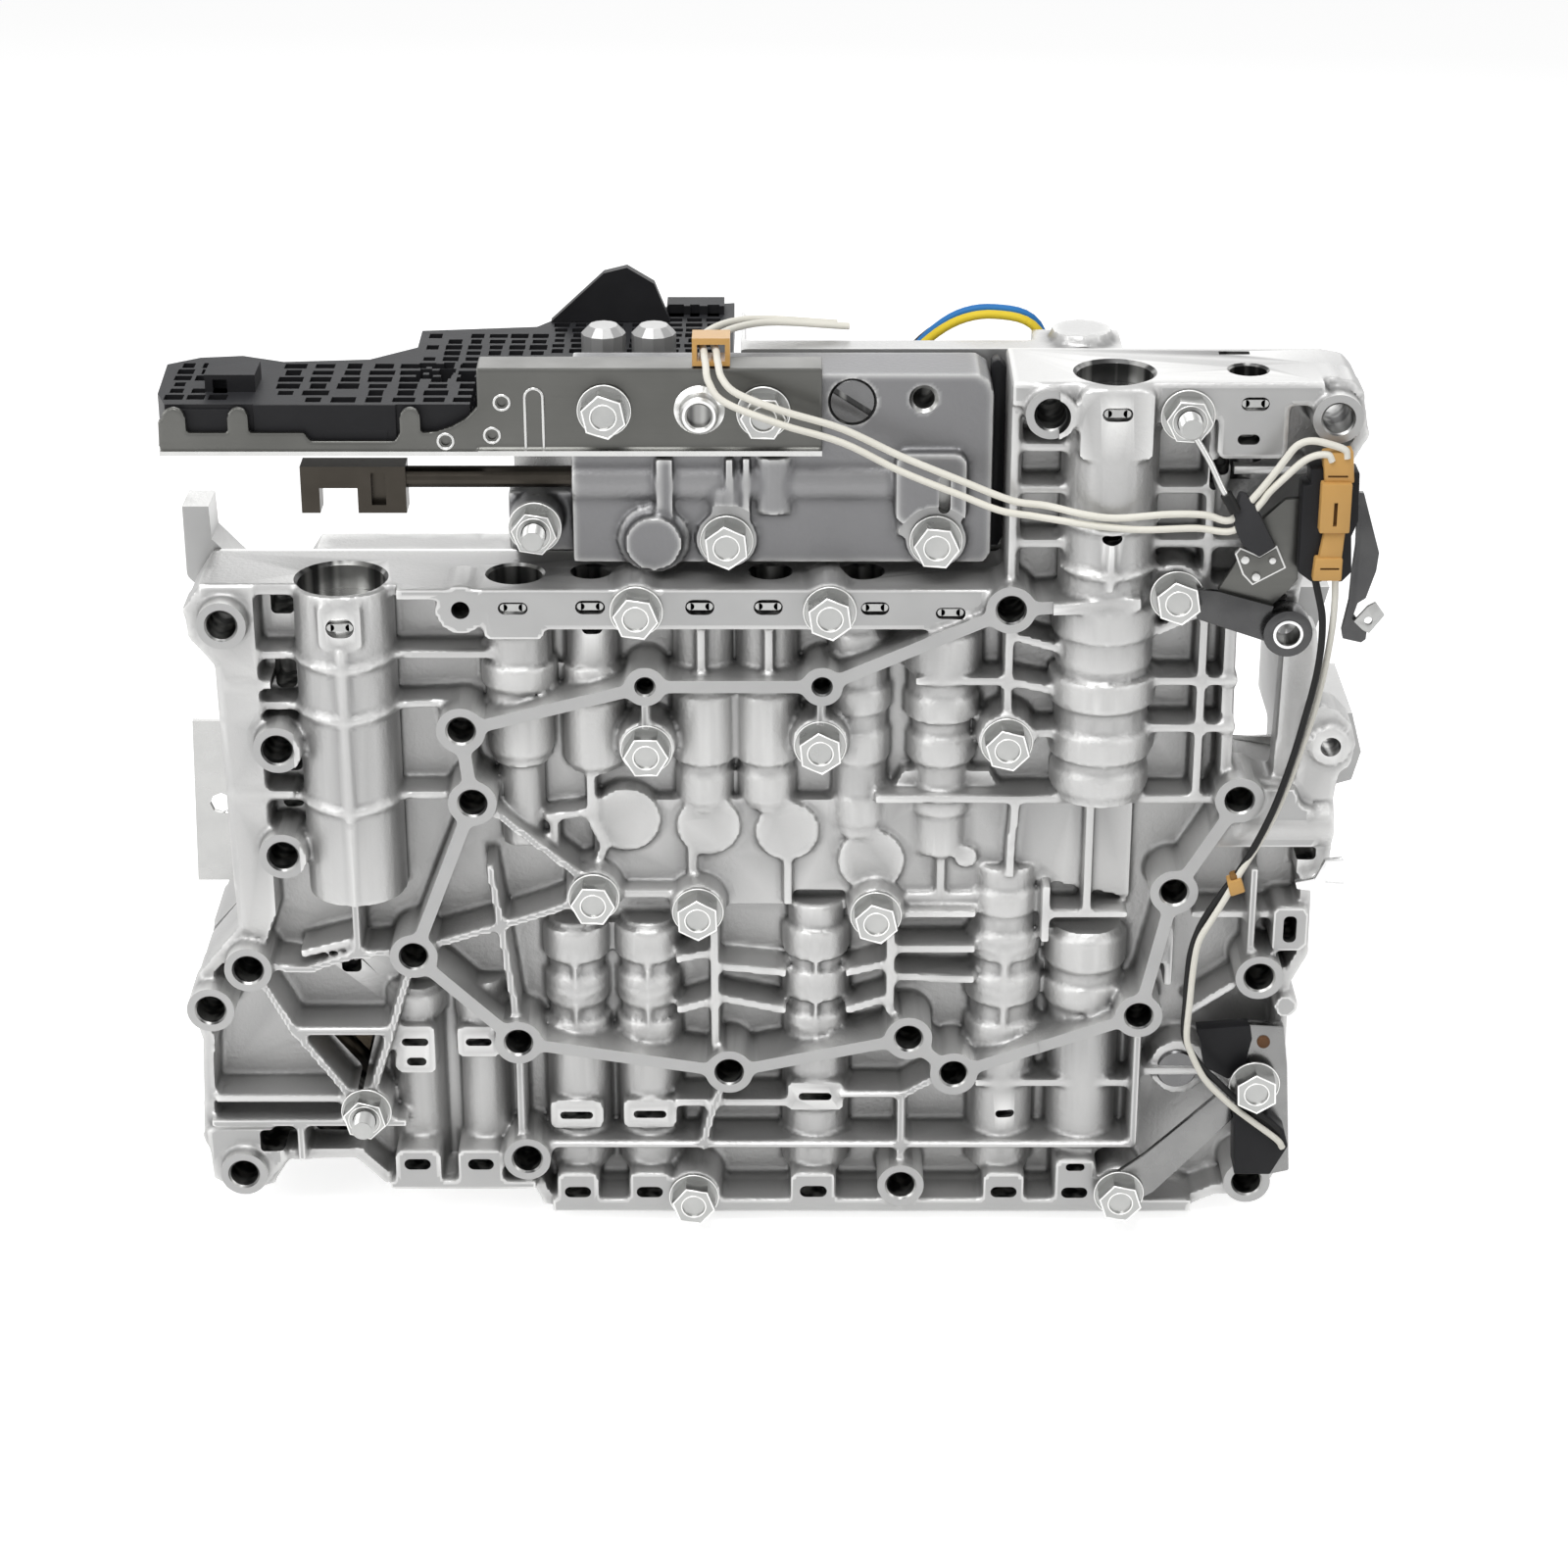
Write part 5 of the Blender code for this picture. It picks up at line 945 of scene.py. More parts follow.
def manual_casting():
    """The casting of the manual valve: a flat front, the lying hump of its bore, ribs and bosses."""
    back = BACK
    depth, z = MANUAL_AXIS
    casting = Solid(0)
    casting.prism(((-48.6, MANUAL_BASE + 0.5), (-46, MANUAL_BASE), (53.0, MANUAL_BASE),
                   (55.0, MANUAL_BASE + 2.5),
                   (55.0, 228.0), (54.0, 231.4), (51.0, MANUAL_TOP), (-48.6, MANUAL_TOP)), MANUAL_FACE, back)
    casting.bar((-48.6, depth, z), (40, depth, z), 6.8, 32)
    casting.box((-65.0, 20.5, MANUAL_BASE), (-48.0, back, 200.0))
    casting.drill(*MANUAL_STUD, 10.5, back, 6.6)
    for x, height in MANUAL_BOLTS:
        casting.drill(x, height, 9.4, back, 7.3, back_radius=8.2)
    casting.bar((-10.5, 14.5, 191.0), (-10.5, 14.5, 204.0), 5.2, 24)
    casting.drill(-28.5, 191.0, 7.3, back, 7.0)
    casting.drill(-28.5, 191.0, 10.4, back, 8.8)
    casting.rounded(39.8, 204.8, 17.6, 18.4, 8.5, back, 3.0)
    casting.bar((34.0, 13.0, 192.0), (34.0, 13.0, 212.0), 3.2, 20)
    for x, low, high, width, front in ((-27.0, 192.0, 212.6, 1.7, 9.0), (-24.6, 192.0, 212.6, 1.7, 9.3),
                                       (-9.7, 196.0, 212.6, 1.7, 9.2), (-5.6, 196.0, 212.6, 1.6, 9.6)):
        casting.box((x - width / 2, front, low), (x + width / 2, back, high))
    casting.bar((1.2, 14.6, 197.6), (1.2, 14.6, 212.6), 5.4, 24)
    casting.bar((-26.0, 12.6, 186.0), (-26.0, 12.6, 200.0), 3.0, 16)
    piece = casting.object("manual_casting")
    cast_skin(piece, 0.7, 3, 90000)
    piece.data.materials.clear()
    for finish in (DARK_CAST, MACHINED, SHADED_BORE):
        piece.data.materials.append(finish)
    faces = Solid(1)
    for x, height in MANUAL_BOLTS:
        faces.drill(x, height, 5.0, 10.6, 9.4, 32)
    faces.drill(*MANUAL_STUD, 5.0, 12.0, 7.6, 32)
    cut(piece, faces.object("manual_seats", (CAST, MACHINED, SHADED_BORE)))
    holes = Solid(2)
    holes.bar((-70, depth, z), (36, depth, z), 4.85, 32)
    holes.lathe((37.8, 8.0, 227.0), (37.8, 24.0, 227.0), ((0, 3.6), (4.0, 3.6), (4.7, 2.7), (16, 2.7)), 24)
    holes.rounded(43.2, 203.1, 2.9, 10.5, 5.0, 15.0, 1.4)
    for x, height in MANUAL_BOLTS + (MANUAL_STUD,):
        holes.drill(x, height, 5, back + 1, 3.4)
    for x, height in BRACKET_BOLTS + (BRACKET_NUT,):
        holes.drill(x, height, 5, 24, 3.4)
    cut(piece, holes.object("manual_holes", (CAST, MACHINED, SHADED_BORE)))
    x, height = MANUAL_PLUG
    groove = Solid(2)
    groove.lathe((x, 11.0, height), (x, 12.5, height), ((0, 6.0), (1.5, 6.0)), 36)
    cut(piece, groove.object("manual_groove", (CAST, MACHINED, SHADED_BORE)))
    mark_edges(piece)
    smooth_edges(piece)
    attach(piece, "castings")
    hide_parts("manual_valve_body")


def slotted_plug(name, x, z, face, radius, slot, turn):
    """A screw plug with a driver slot, nearly flush with its casting."""
    plug = Solid(0)
    plug.lathe((x, face + 6, z), (x, face, z), ((0, radius), (5.5, radius), (6, radius - 0.4)), 40)
    piece = plug.object(name, (PLUG, PLUG, SHADED_BORE))
    angle = math.radians(turn)
    reach = Vector((math.cos(angle), math.sin(angle))) * (radius * 0.92)
    cutter = Solid(2)
    cutter.wall((x - reach.x, z - reach.y), (x + reach.x, z + reach.y), slot, face - 1, face + 1.3)
    cut(piece, cutter.object(name + "_slot", (PLUG, PLUG, SHADED_BORE)))
    smooth_edges(piece)
    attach(piece, "castings")


manual_casting()


# More finishes.

def zinc_plate(name, low, high):
    """Bright zinc: smooth, with a faint cloudy passivation."""
    coat = Surface(name)
    clouds = coat.noise(140.0, 3.0)
    shade = coat.blend(clouds, low, high)
    return coat.finish(shade, 0.22 + 0.16 * clouds, 0.95, coat.bump(coat.noise(700.0), 0.14, 0.1))


def rolled_sheet():
    """Rolled steel sheet: fine lines along the sheet and a few rubbed patches."""
    sheet = Surface("rolled_sheet")
    stretched = sheet.add("ShaderNodeMapping", None, Vector=sheet.where, Scale=(40.0, 40.0, 900.0))
    lines = sheet.add("ShaderNodeTexNoise", None, Vector=stretched, Scale=2.0, Detail=3.0)
    rubbed = sheet.noise(45.0, 3.0)
    shade = sheet.blend(rubbed, (0.090, 0.090, 0.084), (0.150, 0.150, 0.142))
    return sheet.finish(shade, 0.24 + 0.22 * lines, 1.0, sheet.bump(lines, 0.10, 0.1))


def ground_steel():
    """Hardened valve steel: dark and smooth."""
    steel = Surface("ground_steel")
    tone = steel.noise(90.0, 2.0)
    shade = steel.blend(tone, (0.032, 0.028, 0.023), (0.070, 0.062, 0.052))
    return steel.finish(shade, 0.26 + 0.12 * tone, 0.95, steel.bump(steel.noise(1200.0), 0.08, 0.1))


def bright_steel(name, low, high):
    """Turned plugs and pins."""
    steel = Surface(name)
    tone = steel.noise(160.0, 2.0)
    return steel.finish(steel.blend(tone, low, high), 0.20 + 0.14 * tone, 1.0)


def moulded(name, low, high, roughness, grain=900.0, depth=0.12, coat=0.0):
    """Moulded plastic or rubber with a fine eroded grain."""
    skin = Surface(name)
    tone = skin.noise(70.0, 3.0)
    fine = skin.noise(grain, 2.0)
    return skin.finish(skin.blend(tone, low, high), roughness + 0.12 * tone, 0.0,
                       skin.bump(fine, 0.25, depth), coat, 0.15)


def felt():
    """Pale brown felt with fine fibres."""
    pile = Surface("strainer_felt")
    fibres = pile.noise(1500.0, 4.0, 0.7)
    shade = pile.blend(fibres, (0.34, 0.26, 0.17), (0.62, 0.52, 0.40))
    return pile.finish(shade, 0.9, 0.0, pile.bump(fibres, 0.8, 0.4))


ZINC = zinc_plate("zinc_plate", (0.34, 0.345, 0.34), (0.50, 0.50, 0.49))
# A much lighter copy of the zinc, used as painted highlight: the edge lines of bolts and nuts, and the whole
# bracket nut.
ZINC_HIGHLIGHT = zinc_plate("zinc_edge", (0.80, 0.80, 0.79), (0.92, 0.92, 0.90))
SHEET = rolled_sheet()
GROUND = ground_steel()
BRIGHT = bright_steel("bright_steel", (0.50, 0.50, 0.49), (0.66, 0.66, 0.65))
BLACK = moulded("black_moulding", (0.010, 0.010, 0.011), (0.022, 0.022, 0.024), 0.36)
# The black moulding a little lighter, as painted light on the plate's top faces.
BLACK_LIT_TOP = moulded("lattice_moulding", (0.016, 0.016, 0.018), (0.034, 0.035, 0.038), 0.46)
TAN = moulded("tan_moulding", (0.52, 0.29, 0.09), (0.63, 0.37, 0.12), 0.32, coat=0.2)
CREAM = moulded("cream_sleeve", (0.72, 0.70, 0.62), (0.84, 0.82, 0.75), 0.42, 1400.0)
BLACK_SLEEVE = moulded("black_sleeve", (0.012, 0.012, 0.012), (0.025, 0.025, 0.025), 0.30, 1400.0)
YELLOW = moulded("yellow_sleeve", (0.70, 0.52, 0.03), (0.85, 0.66, 0.06), 0.40, 1400.0)
BLUE = moulded("blue_sleeve", (0.02, 0.14, 0.42), (0.05, 0.24, 0.58), 0.40, 1400.0)
WHITE_SHEET = bright_steel("white_sheet", (0.80, 0.80, 0.80), (0.90, 0.90, 0.90))
RUBBER = moulded("dark_rubber", (0.030, 0.030, 0.032), (0.055, 0.055, 0.058), 0.62, 500.0, 0.3)
PLUG = bright_steel("plug_steel", (0.13, 0.13, 0.132), (0.20, 0.20, 0.202))
DARK_SHEET = bright_steel("dark_sheet", (0.060, 0.060, 0.062), (0.10, 0.10, 0.10))
SEPARATOR = bright_steel("separator_steel", (0.40, 0.40, 0.395), (0.52, 0.52, 0.51))
LIGHT_SHEET = bright_steel("light_sheet", (0.20, 0.20, 0.20), (0.28, 0.28, 0.275))
TAN_DARK = moulded("tan_shadow", (0.20, 0.10, 0.03), (0.28, 0.15, 0.05), 0.5)
BROWN = moulded("brown_moulding", (0.10, 0.050, 0.025), (0.16, 0.08, 0.04), 0.45)
FELT = felt()


# Geometry node trees, and the fasteners they make.

class Grower(NodeMaker):
    """A Geometry Nodes tree with named inputs, grown on a start mesh and kept as a plain mesh."""

    def __init__(self, name):
        super().__init__(bpy.data.node_groups.new(name, "GeometryNodeTree"))
        faces = self.tree.interface
        faces.new_socket("Geometry", in_out="INPUT", socket_type="NodeSocketGeometry")
        faces.new_socket("Geometry", in_out="OUTPUT", socket_type="NodeSocketGeometry")
        self.entry = self.tree.nodes.new("NodeGroupInput")
        self.sizes = {}

    def start(self):
        """The mesh that the tree is run on."""
        return Wire(self, self.entry.outputs[0])

    def size(self, name, value, kind="NodeSocketFloat"):
        """A named input of the tree."""
        socket = self.tree.interface.new_socket(name, in_out="INPUT", socket_type=kind)
        self.sizes[socket.identifier] = value
        return Wire(self, self.entry.outputs[name])

    def millimetres(self, name, value):
        """A named length, given in millimetres."""
        return self.size(name, value * MM)

    def count(self, name, value):
        """A named whole number."""
        return self.size(name, value, "NodeSocketInt")

    def vector(self, x, y, z):
        """Three numbers as one vector."""
        return self.add("ShaderNodeCombineXYZ", None, x, y, z)

    def moved(self, shape, x=0.0, y=0.0, z=0.0):
        """The shape, moved."""
        return self.add("GeometryNodeTransform", None, Geometry=shape, Translation=self.vector(x, y, z))

    def together(self, *shapes):
        """The shapes as one."""
        node = self.tree.nodes.new("GeometryNodeJoinGeometry")
        for shape in reversed(shapes):
            self.tree.links.new(shape.socket, node.inputs[0])
        return Wire(self, node.outputs[0])

    def grow(self, shape, finish, start, name):
        """Ends the tree, runs it on the start mesh and returns the finished plain piece."""
        real = self.add("GeometryNodeRealizeInstances", None, shape)
        ended = self.add("GeometryNodeSetMaterial", None, Geometry=real, Material=finish)
        end = self.tree.nodes.new("NodeGroupOutput")
        self.tree.links.new(ended.socket, end.inputs[0])
        piece = bpy.data.objects.new(name, start)
        bpy.context.scene.collection.objects.link(piece)
        modifier = piece.modifiers.new(self.tree.name, "NODES")
        modifier.node_group = self.tree
        for identifier, value in self.sizes.items():
            modifier[identifier] = value
        bpy.context.view_layer.update()
        shown = piece.evaluated_get(bpy.context.evaluated_depsgraph_get())
        mesh = bpy.data.meshes.new_from_object(shown)
        piece.modifiers.clear()
        piece.data = mesh
        return piece


def points_mesh(name, places, turns=()):
    """Loose points in metres, each with a turn about the depth axis in degrees."""
    mesh = bpy.data.meshes.new(name)
    mesh.from_pydata([place(*point) for point in places], [], [])
    turn = mesh.attributes.new("turn", "FLOAT_VECTOR", "POINT")
    for index in range(len(places)):
        spin = turns[index] if index < len(turns) else 0.0
        turn.data[index].vector = (math.radians(90), math.radians(spin), 0.0)
    return mesh


def hexagon_head(tree, hexagon, height, flange, rim):
    """A flange head with chamfered corners, upright on z = 0."""
    prism = tree.add("GeometryNodeMeshCylinder", None, Vertices=6, Radius=hexagon, Depth=height)
    prism = tree.moved(prism, z=height * 0.5)
    cone = tree.add("GeometryNodeMeshCone", None, Vertices=48, Radius_Top=hexagon * 0.93,
                    Radius_Bottom=hexagon * 0.93 + height * 1.73, Depth=height)
    head = tree.add("GeometryNodeMeshBoolean", {"operation": "INTERSECT", "solver": "EXACT"})
    tree.tree.links.new(prism.socket, head.socket.node.inputs["Mesh 2"])
    tree.tree.links.new(cone.socket, head.socket.node.inputs["Mesh 2"])
    skirt = tree.add("GeometryNodeMeshCone", None, Vertices=48, Radius_Top=flange * 0.86,
                     Radius_Bottom=flange,
                     Depth=rim)
    lip = tree.add("GeometryNodeMeshCylinder", None, Vertices=48, Radius=flange, Depth=rim * 0.45)
    return tree.together(head, tree.moved(skirt, z=rim * 0.45), tree.moved(lip, z=rim * 0.225))


def dished(tree, head, hexagon, height):
    """The head with the shallow dish that forging leaves in its top."""
    dish = tree.add("GeometryNodeMeshCone", None, Vertices=32, Radius_Top=hexagon * 0.74,
                    Radius_Bottom=hexagon * 0.50, Depth=height * 0.5)
    made = tree.add("GeometryNodeMeshBoolean", {"operation": "DIFFERENCE", "solver": "EXACT"})
    tree.tree.links.new(head.socket, made.socket.node.inputs["Mesh 1"])
    tree.tree.links.new(tree.moved(dish, z=height * 0.88).socket, made.socket.node.inputs["Mesh 2"])
    return made


def set_on_points(tree, shape):
    """The shape on each start point, turned by that point's attribute."""
    turn = tree.add("GeometryNodeInputNamedAttribute", {"data_type": "FLOAT_VECTOR"}, "turn")
    return tree.add("GeometryNodeInstanceOnPoints", None, Points=tree.start(), Instance=shape, Rotation=turn)


def outlines(name, seats, turns, height, inner):
    """Painted highlights along the edges of heads or nuts: bright tubes on the hexagon, the ring of the dish
    and the flange.
    """
    tree = Grower(name)
    hexagon = tree.millimetres("Hexagon Radius", 5.5)
    top = tree.millimetres("Edge Height", height)
    dish = tree.millimetres("Ring Radius", inner)
    flange = tree.millimetres("Flange Radius", 6.45)
    wire = tree.add("GeometryNodeCurvePrimitiveCircle", None, Resolution=8,
                    Radius=tree.millimetres("Edge Width", 0.28))
    fine = tree.add("GeometryNodeCurvePrimitiveCircle", None, Resolution=8,
                    Radius=tree.millimetres("Ring Width", 0.2))
    six = tree.add("GeometryNodeCurvePrimitiveCircle", None, Resolution=6, Radius=hexagon)
    ring = tree.add("GeometryNodeCurvePrimitiveCircle", None, Resolution=32, Radius=dish)
    rim = tree.add("GeometryNodeCurvePrimitiveCircle", None, Resolution=48, Radius=flange)
    shapes = [tree.moved(tree.add("GeometryNodeCurveToMesh", None, six, wire), z=top),
              tree.moved(tree.add("GeometryNodeCurveToMesh", None, ring, fine), z=top),
              tree.moved(tree.add("GeometryNodeCurveToMesh", None, rim, fine), z=0.0007)]
    piece = tree.grow(set_on_points(tree, tree.together(*shapes)), ZINC_HIGHLIGHT,
                      points_mesh(name + "_seats", seats, turns), name)
    smooth_edges(piece, 70)
    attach(piece, "castings")


def flange_bolts():
    """The hexagon flange bolts, each turned a little differently."""
    seats = [(x, seat - 0.3, z) for x, z, seat in FRONT_BOLTS]
    seats += [(x, 10.3, z) for x, z in MANUAL_BOLTS]
    seats += [(x, 9.6, z) for x, z in BRACKET_BOLTS]
    seats += [(126.6, -0.6, 43.6), (92.4, -0.4, 10.6), (100.4, 1.0, 180.0)]
    turns = [8, 22, 0, 25, 14, 3, 28, 17, 10, 24, 5, 18, 2, 27, 12, 20]
    outlines("bolt_outlines", seats, turns, 5.9, 3.2)
    tree = Grower("flange_bolts")
    hexagon = tree.millimetres("Hexagon Radius", 5.77)
    height = tree.millimetres("Head Height", 6.0)
    flange = tree.millimetres("Flange Radius", 6.5)
    rim = tree.millimetres("Flange Height", 1.3)
    thread = tree.millimetres("Thread Radius", 2.9)
    reach = tree.millimetres("Shank Length", 14.0)
    head = dished(tree, hexagon_head(tree, hexagon, height, flange, rim), hexagon, height)
    shank = tree.add("GeometryNodeMeshCylinder", None, Vertices=20, Radius=thread, Depth=reach)
    bolt = tree.together(head, tree.moved(shank, z=reach * -0.5))
    piece = tree.grow(set_on_points(tree, bolt), ZINC, points_mesh("bolt_seats", seats, turns),
                      "flange_bolts")
    smooth_edges(piece, 28)
    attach(piece, "castings")
    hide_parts("bolt_top_a", "bolt_top_b", "bolt_middle_a", "bolt_middle_b", "bolt_middle_c",
                "bolt_centre_a", "bolt_centre_b", "bolt_centre_c", "bolt_bottom", "bolt_manual_a",
                "bolt_manual_b", "bolt_bracket_a", "bolt_bracket_b", "bolt_sensor", "bolt_strap", "bolt_arm")


def stud_nuts():
    """Flange nuts on studs; the studs have rolled threads."""
    seats = [(x, seat - 0.3, z) for x, z, seat in STUD_SEATS]
    seats += [(MANUAL_STUD[0], 11.7, MANUAL_STUD[1])]
    turns = (4, 15, 9)
    outlines("nut_outlines", seats, turns, 5.5, 4.1)
    tree = Grower("stud_nuts")
    hexagon = tree.millimetres("Hexagon Radius", 5.77)
    height = tree.millimetres("Nut Height", 5.6)
    flange = tree.millimetres("Flange Radius", 6.5)
    rim = tree.millimetres("Flange Height", 1.3)
    thread = tree.millimetres("Thread Radius", 2.9)
    proud = tree.millimetres("Stud Length", 5.2)
    threads = tree.count("Thread Turns", 9)
    nut = hexagon_head(tree, hexagon, height, flange, rim)
    mouth = tree.add("GeometryNodeMeshCone", None, Vertices=32, Radius_Top=thread * 1.35,
                     Radius_Bottom=thread * 0.9,
                     Depth=height * 0.3)
    open_nut = tree.add("GeometryNodeMeshBoolean", {"operation": "DIFFERENCE", "solver": "EXACT"})
    tree.tree.links.new(nut.socket, open_nut.socket.node.inputs["Mesh 1"])
    tree.tree.links.new(tree.moved(mouth, z=height * 0.88).socket, open_nut.socket.node.inputs["Mesh 2"])
    core = tree.add("GeometryNodeMeshCylinder", None, Vertices=24, Radius=thread * 0.84, Depth=proud + height)
    core = tree.moved(core, z=(proud + height) * 0.5)
    ridge = tree.add("GeometryNodeMeshCone", None, Vertices=24, Radius_Top=thread * 0.84,
                     Radius_Bottom=thread,
                     Depth=0.00035)
    line = tree.add("GeometryNodeMeshLine", None, Count=threads, Offset=tree.vector(0.0, 0.0, 0.0009))
    rings = tree.add("GeometryNodeInstanceOnPoints", None, Points=tree.moved(line, z=height * 0.55),
                     Instance=ridge)
    shank = tree.add("GeometryNodeMeshCylinder", None, Vertices=20, Radius=thread, Depth=0.012)
    stud = tree.together(open_nut, core, rings, tree.moved(shank, z=-0.006))
    piece = tree.grow(set_on_points(tree, stud), ZINC, points_mesh("stud_seats", seats, turns), "stud_nuts")
    smooth_edges(piece, 28)
    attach(piece, "castings")
    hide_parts("stud_nut_column", "stud_nut_lower_left", "stud_nut_manual")


def bracket_nut():
    """The round flange nut of the bracket, its stud end sunk and dark."""
    x, z = BRACKET_NUT
    nut = Solid(0)
    nut.lathe((x, 9.9, z), (x, 3.5, z),
              ((0, 6.2), (0.9, 6.2), (1.5, 5.3), (1.9, 4.9), (5.2, 4.7), (6.0, 4.1)), 40)
    # The nut's body takes the lighter zinc of the painted highlights.
    piece = nut.object("bracket_nut", (ZINC_HIGHLIGHT, ZINC, SHADED_BORE))
    inside = Solid(2)
    inside.lathe((x, 5.9, z), (x, 3.0, z), ((0, 3.0), (1.6, 3.0), (2.2, 3.7), (3.2, 4.0)), 32)
    cut(piece, inside.object("bracket_nut_mouth", (ZINC_HIGHLIGHT, ZINC, SHADED_BORE)))
    smooth_edges(piece, 28)
    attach(piece, "castings")
    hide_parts("nut_bracket")


flange_bolts()
stud_nuts()
bracket_nut()


# The bracket and the conductor plate.

SHEET_BACK = 11.7
SHEET_FRONT = 9.9
LEAF = 233.6


def finger(x, width, low, high, steps=6):
    """The outline of one upturned finger with a round top, from its right foot to its left foot."""
    points = [(x + width / 2, low)]
    for step in range(steps + 1):
        angle = math.radians(180 * step / steps)
        points.append((x + math.cos(angle) * width / 2, high - width / 2 + math.sin(angle) * width / 2))
    return points + [(x - width / 2, low)]


def bracket():
    """The bent sheet under the conductor plate: back leaf, front face with fingers, foot flange."""
    outline = [(-147.0, 213.4), (13.0, 213.4), (13.0, 235.2), (-71.0, 235.2), (-71.0, 225.6), (-74.0, 222.6),
               (-77.5, 220.6), (-81.5, 219.3)]
    outline += finger(-87.5, 5.2, 219.0, 225.4)
    outline += [(-91.5, 216.8), (-112.0, 216.8), (-113.5, 219.0)]
    outline += finger(-129.5, 5.2, 219.0, 225.4)
    outline += finger(-145.2, 6.0, 219.0, 225.4)[:-1]
    outline += [(-149.0, 222.0), (-149.2, 215.6)]
    sheet = Solid(0)
    sheet.prism(outline, SHEET_FRONT, SHEET_BACK)
    sheet.box((-71, SHEET_FRONT, LEAF), (13, 20.0, LEAF + 1.8))
    sheet.box((-149, SHEET_FRONT, 213.4), (-71, 40.0, 215.2))
    sheet.box((-71, 9.0, 213.4), (13, SHEET_BACK, 215.0))
    piece = sheet.object("conductor_bracket_sheet", (SHEET,))
    holes = Solid(0)
    for x, z in BRACKET_BOLTS + (BRACKET_NUT,):
        holes.drill(x, z, 5, 14, 3.4)
    for x, z in ((-65.0, 226.8), (-67.6, 218.4), (-79.0, 216.9)):
        holes.drill(x, z, 8, SHEET_FRONT + 0.6, 1.1, 16)
    apply(piece, "REMESH", mode="VOXEL", voxel_size=0.0004, use_smooth_shade=True)
    apply(piece, "SMOOTH", factor=0.5, iterations=2)
    count = sum(len(p.vertices) - 2 for p in piece.data.polygons)
    apply(piece, "DECIMATE", decimate_type="COLLAPSE", ratio=min(1.0, 60000 / count))
    piece.data.materials.clear()
    piece.data.materials.append(SHEET)
    cut(piece, holes.object("bracket_holes", (SHEET,)))
    smooth_edges(piece)
    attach(piece, "castings")
    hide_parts("conductor_bracket")
    # Bright steel strips along the foot flange's front edge and round the embossed rib: painted highlights.
    lip = Solid(0)
    lip.box((-71, SHEET_FRONT - 1.6, 213.6), (13, SHEET_FRONT + 0.4, 214.9))
    lip.box((-149, SHEET_FRONT - 0.8, 213.4), (-71, SHEET_FRONT + 0.4, 214.5))
    x, half, high = -57.2, 2.2, 228.2
    run = [(x + half, 214.5)]
    run += [(x + math.cos(math.radians(turn)) * half, high + math.sin(math.radians(turn)) * half)
            for turn in range(0, 181, 20)]
    run.append((x - half, 214.5))
    for first, last in zip(run, run[1:]):
        lip.bar((first[0], SHEET_FRONT - 0.1, first[1]), (last[0], SHEET_FRONT - 0.1, last[1]), 0.42, 10)
    edge = lip.object("bracket_highlight_strips", (BRIGHT,))
    smooth_edges(edge, 50)
    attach(edge, "castings")


def weld_rings():
    """Raised rings where the sheet is staked."""
    tree = Grower("weld_rings")
    ring = tree.millimetres("Ring Radius", 1.9)
    wire = tree.millimetres("Ring Thickness", 0.4)
    circle = tree.add("GeometryNodeCurvePrimitiveCircle", None, Resolution=28, Radius=ring)
    section = tree.add("GeometryNodeCurvePrimitiveCircle", None, Resolution=8, Radius=wire)
    loop = tree.add("GeometryNodeCurveToMesh", None, circle, section)
    places = [(x, SHEET_FRONT, z) for x, z in ((-65.0, 226.8), (-67.6, 218.4), (-79.0, 216.9))]
    piece = tree.grow(set_on_points(tree, loop), BRIGHT, points_mesh("ring_seats", places), "weld_rings")
    smooth_edges(piece, 60)
    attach(piece, "castings")


HOUSING_OUTLINE = (
    (-147.5, 12.5), (-73.0, 12.5), (-73.0, 30.8), (-9.4, 30.8), (-9.4, 96.5), (-52.1, 88.0),
    (-60.4, 75.5), (-89.9, 72.0), (-89.8, 58.0), (-101.0, 48.0), (-122.5, 46.0), (-133.5, 51.0),
    (-144.0, 49.5), (-151.6, 44.0), (-150.4, 20.5),
)
SOLENOIDS = ((-41.5, 42.0), (-28.9, 42.0))


def pocket_rows(name, corner, columns, rows, pitch, size, seed, keep):
    """Rows of rectangular pockets of uneven length, as cutters, in the top of the conductor plate."""
    tree = Grower(name)
    across = tree.count("Columns", columns)
    along = tree.count("Rows", rows)
    pitch_x = tree.millimetres("Pitch Across", pitch[0])
    pitch_y = tree.millimetres("Pitch Deep", pitch[1])
    width = tree.millimetres("Pocket Width", size[0])
    depth = tree.millimetres("Pocket Depth", size[1])
    fall = tree.millimetres("Pocket Fall", size[2])
    sheet = tree.add("GeometryNodeMeshGrid", None, Size_X=pitch_x * (across - 1),
                     Size_Y=pitch_y * (along - 1),
                     Vertices_X=across, Vertices_Y=along)
    chosen = tree.add("FunctionNodeRandomValue", {"data_type": "BOOLEAN"}, output=3, Probability=keep,
                      Seed=seed)
    block = tree.add("GeometryNodeMeshCube", None, tree.vector(width, depth, fall))
    stretch = tree.add("FunctionNodeRandomValue", {"data_type": "FLOAT_VECTOR"}, (0.55, 0.7, 1.0),
                       (1.0, 1.0, 1.0), Seed=seed + 1)
    set_down = tree.add("GeometryNodeInstanceOnPoints", None, Points=sheet, Selection=chosen, Instance=block,
                        Scale=stretch)
    centre = place(corner[0] + pitch[0] * (columns - 1) / 2, corner[1] + pitch[1] * (rows - 1) / 2, corner[2])
    moved = tree.moved(set_down, *centre)
    return tree.grow(moved, BLACK, bpy.data.meshes.new(name), name)


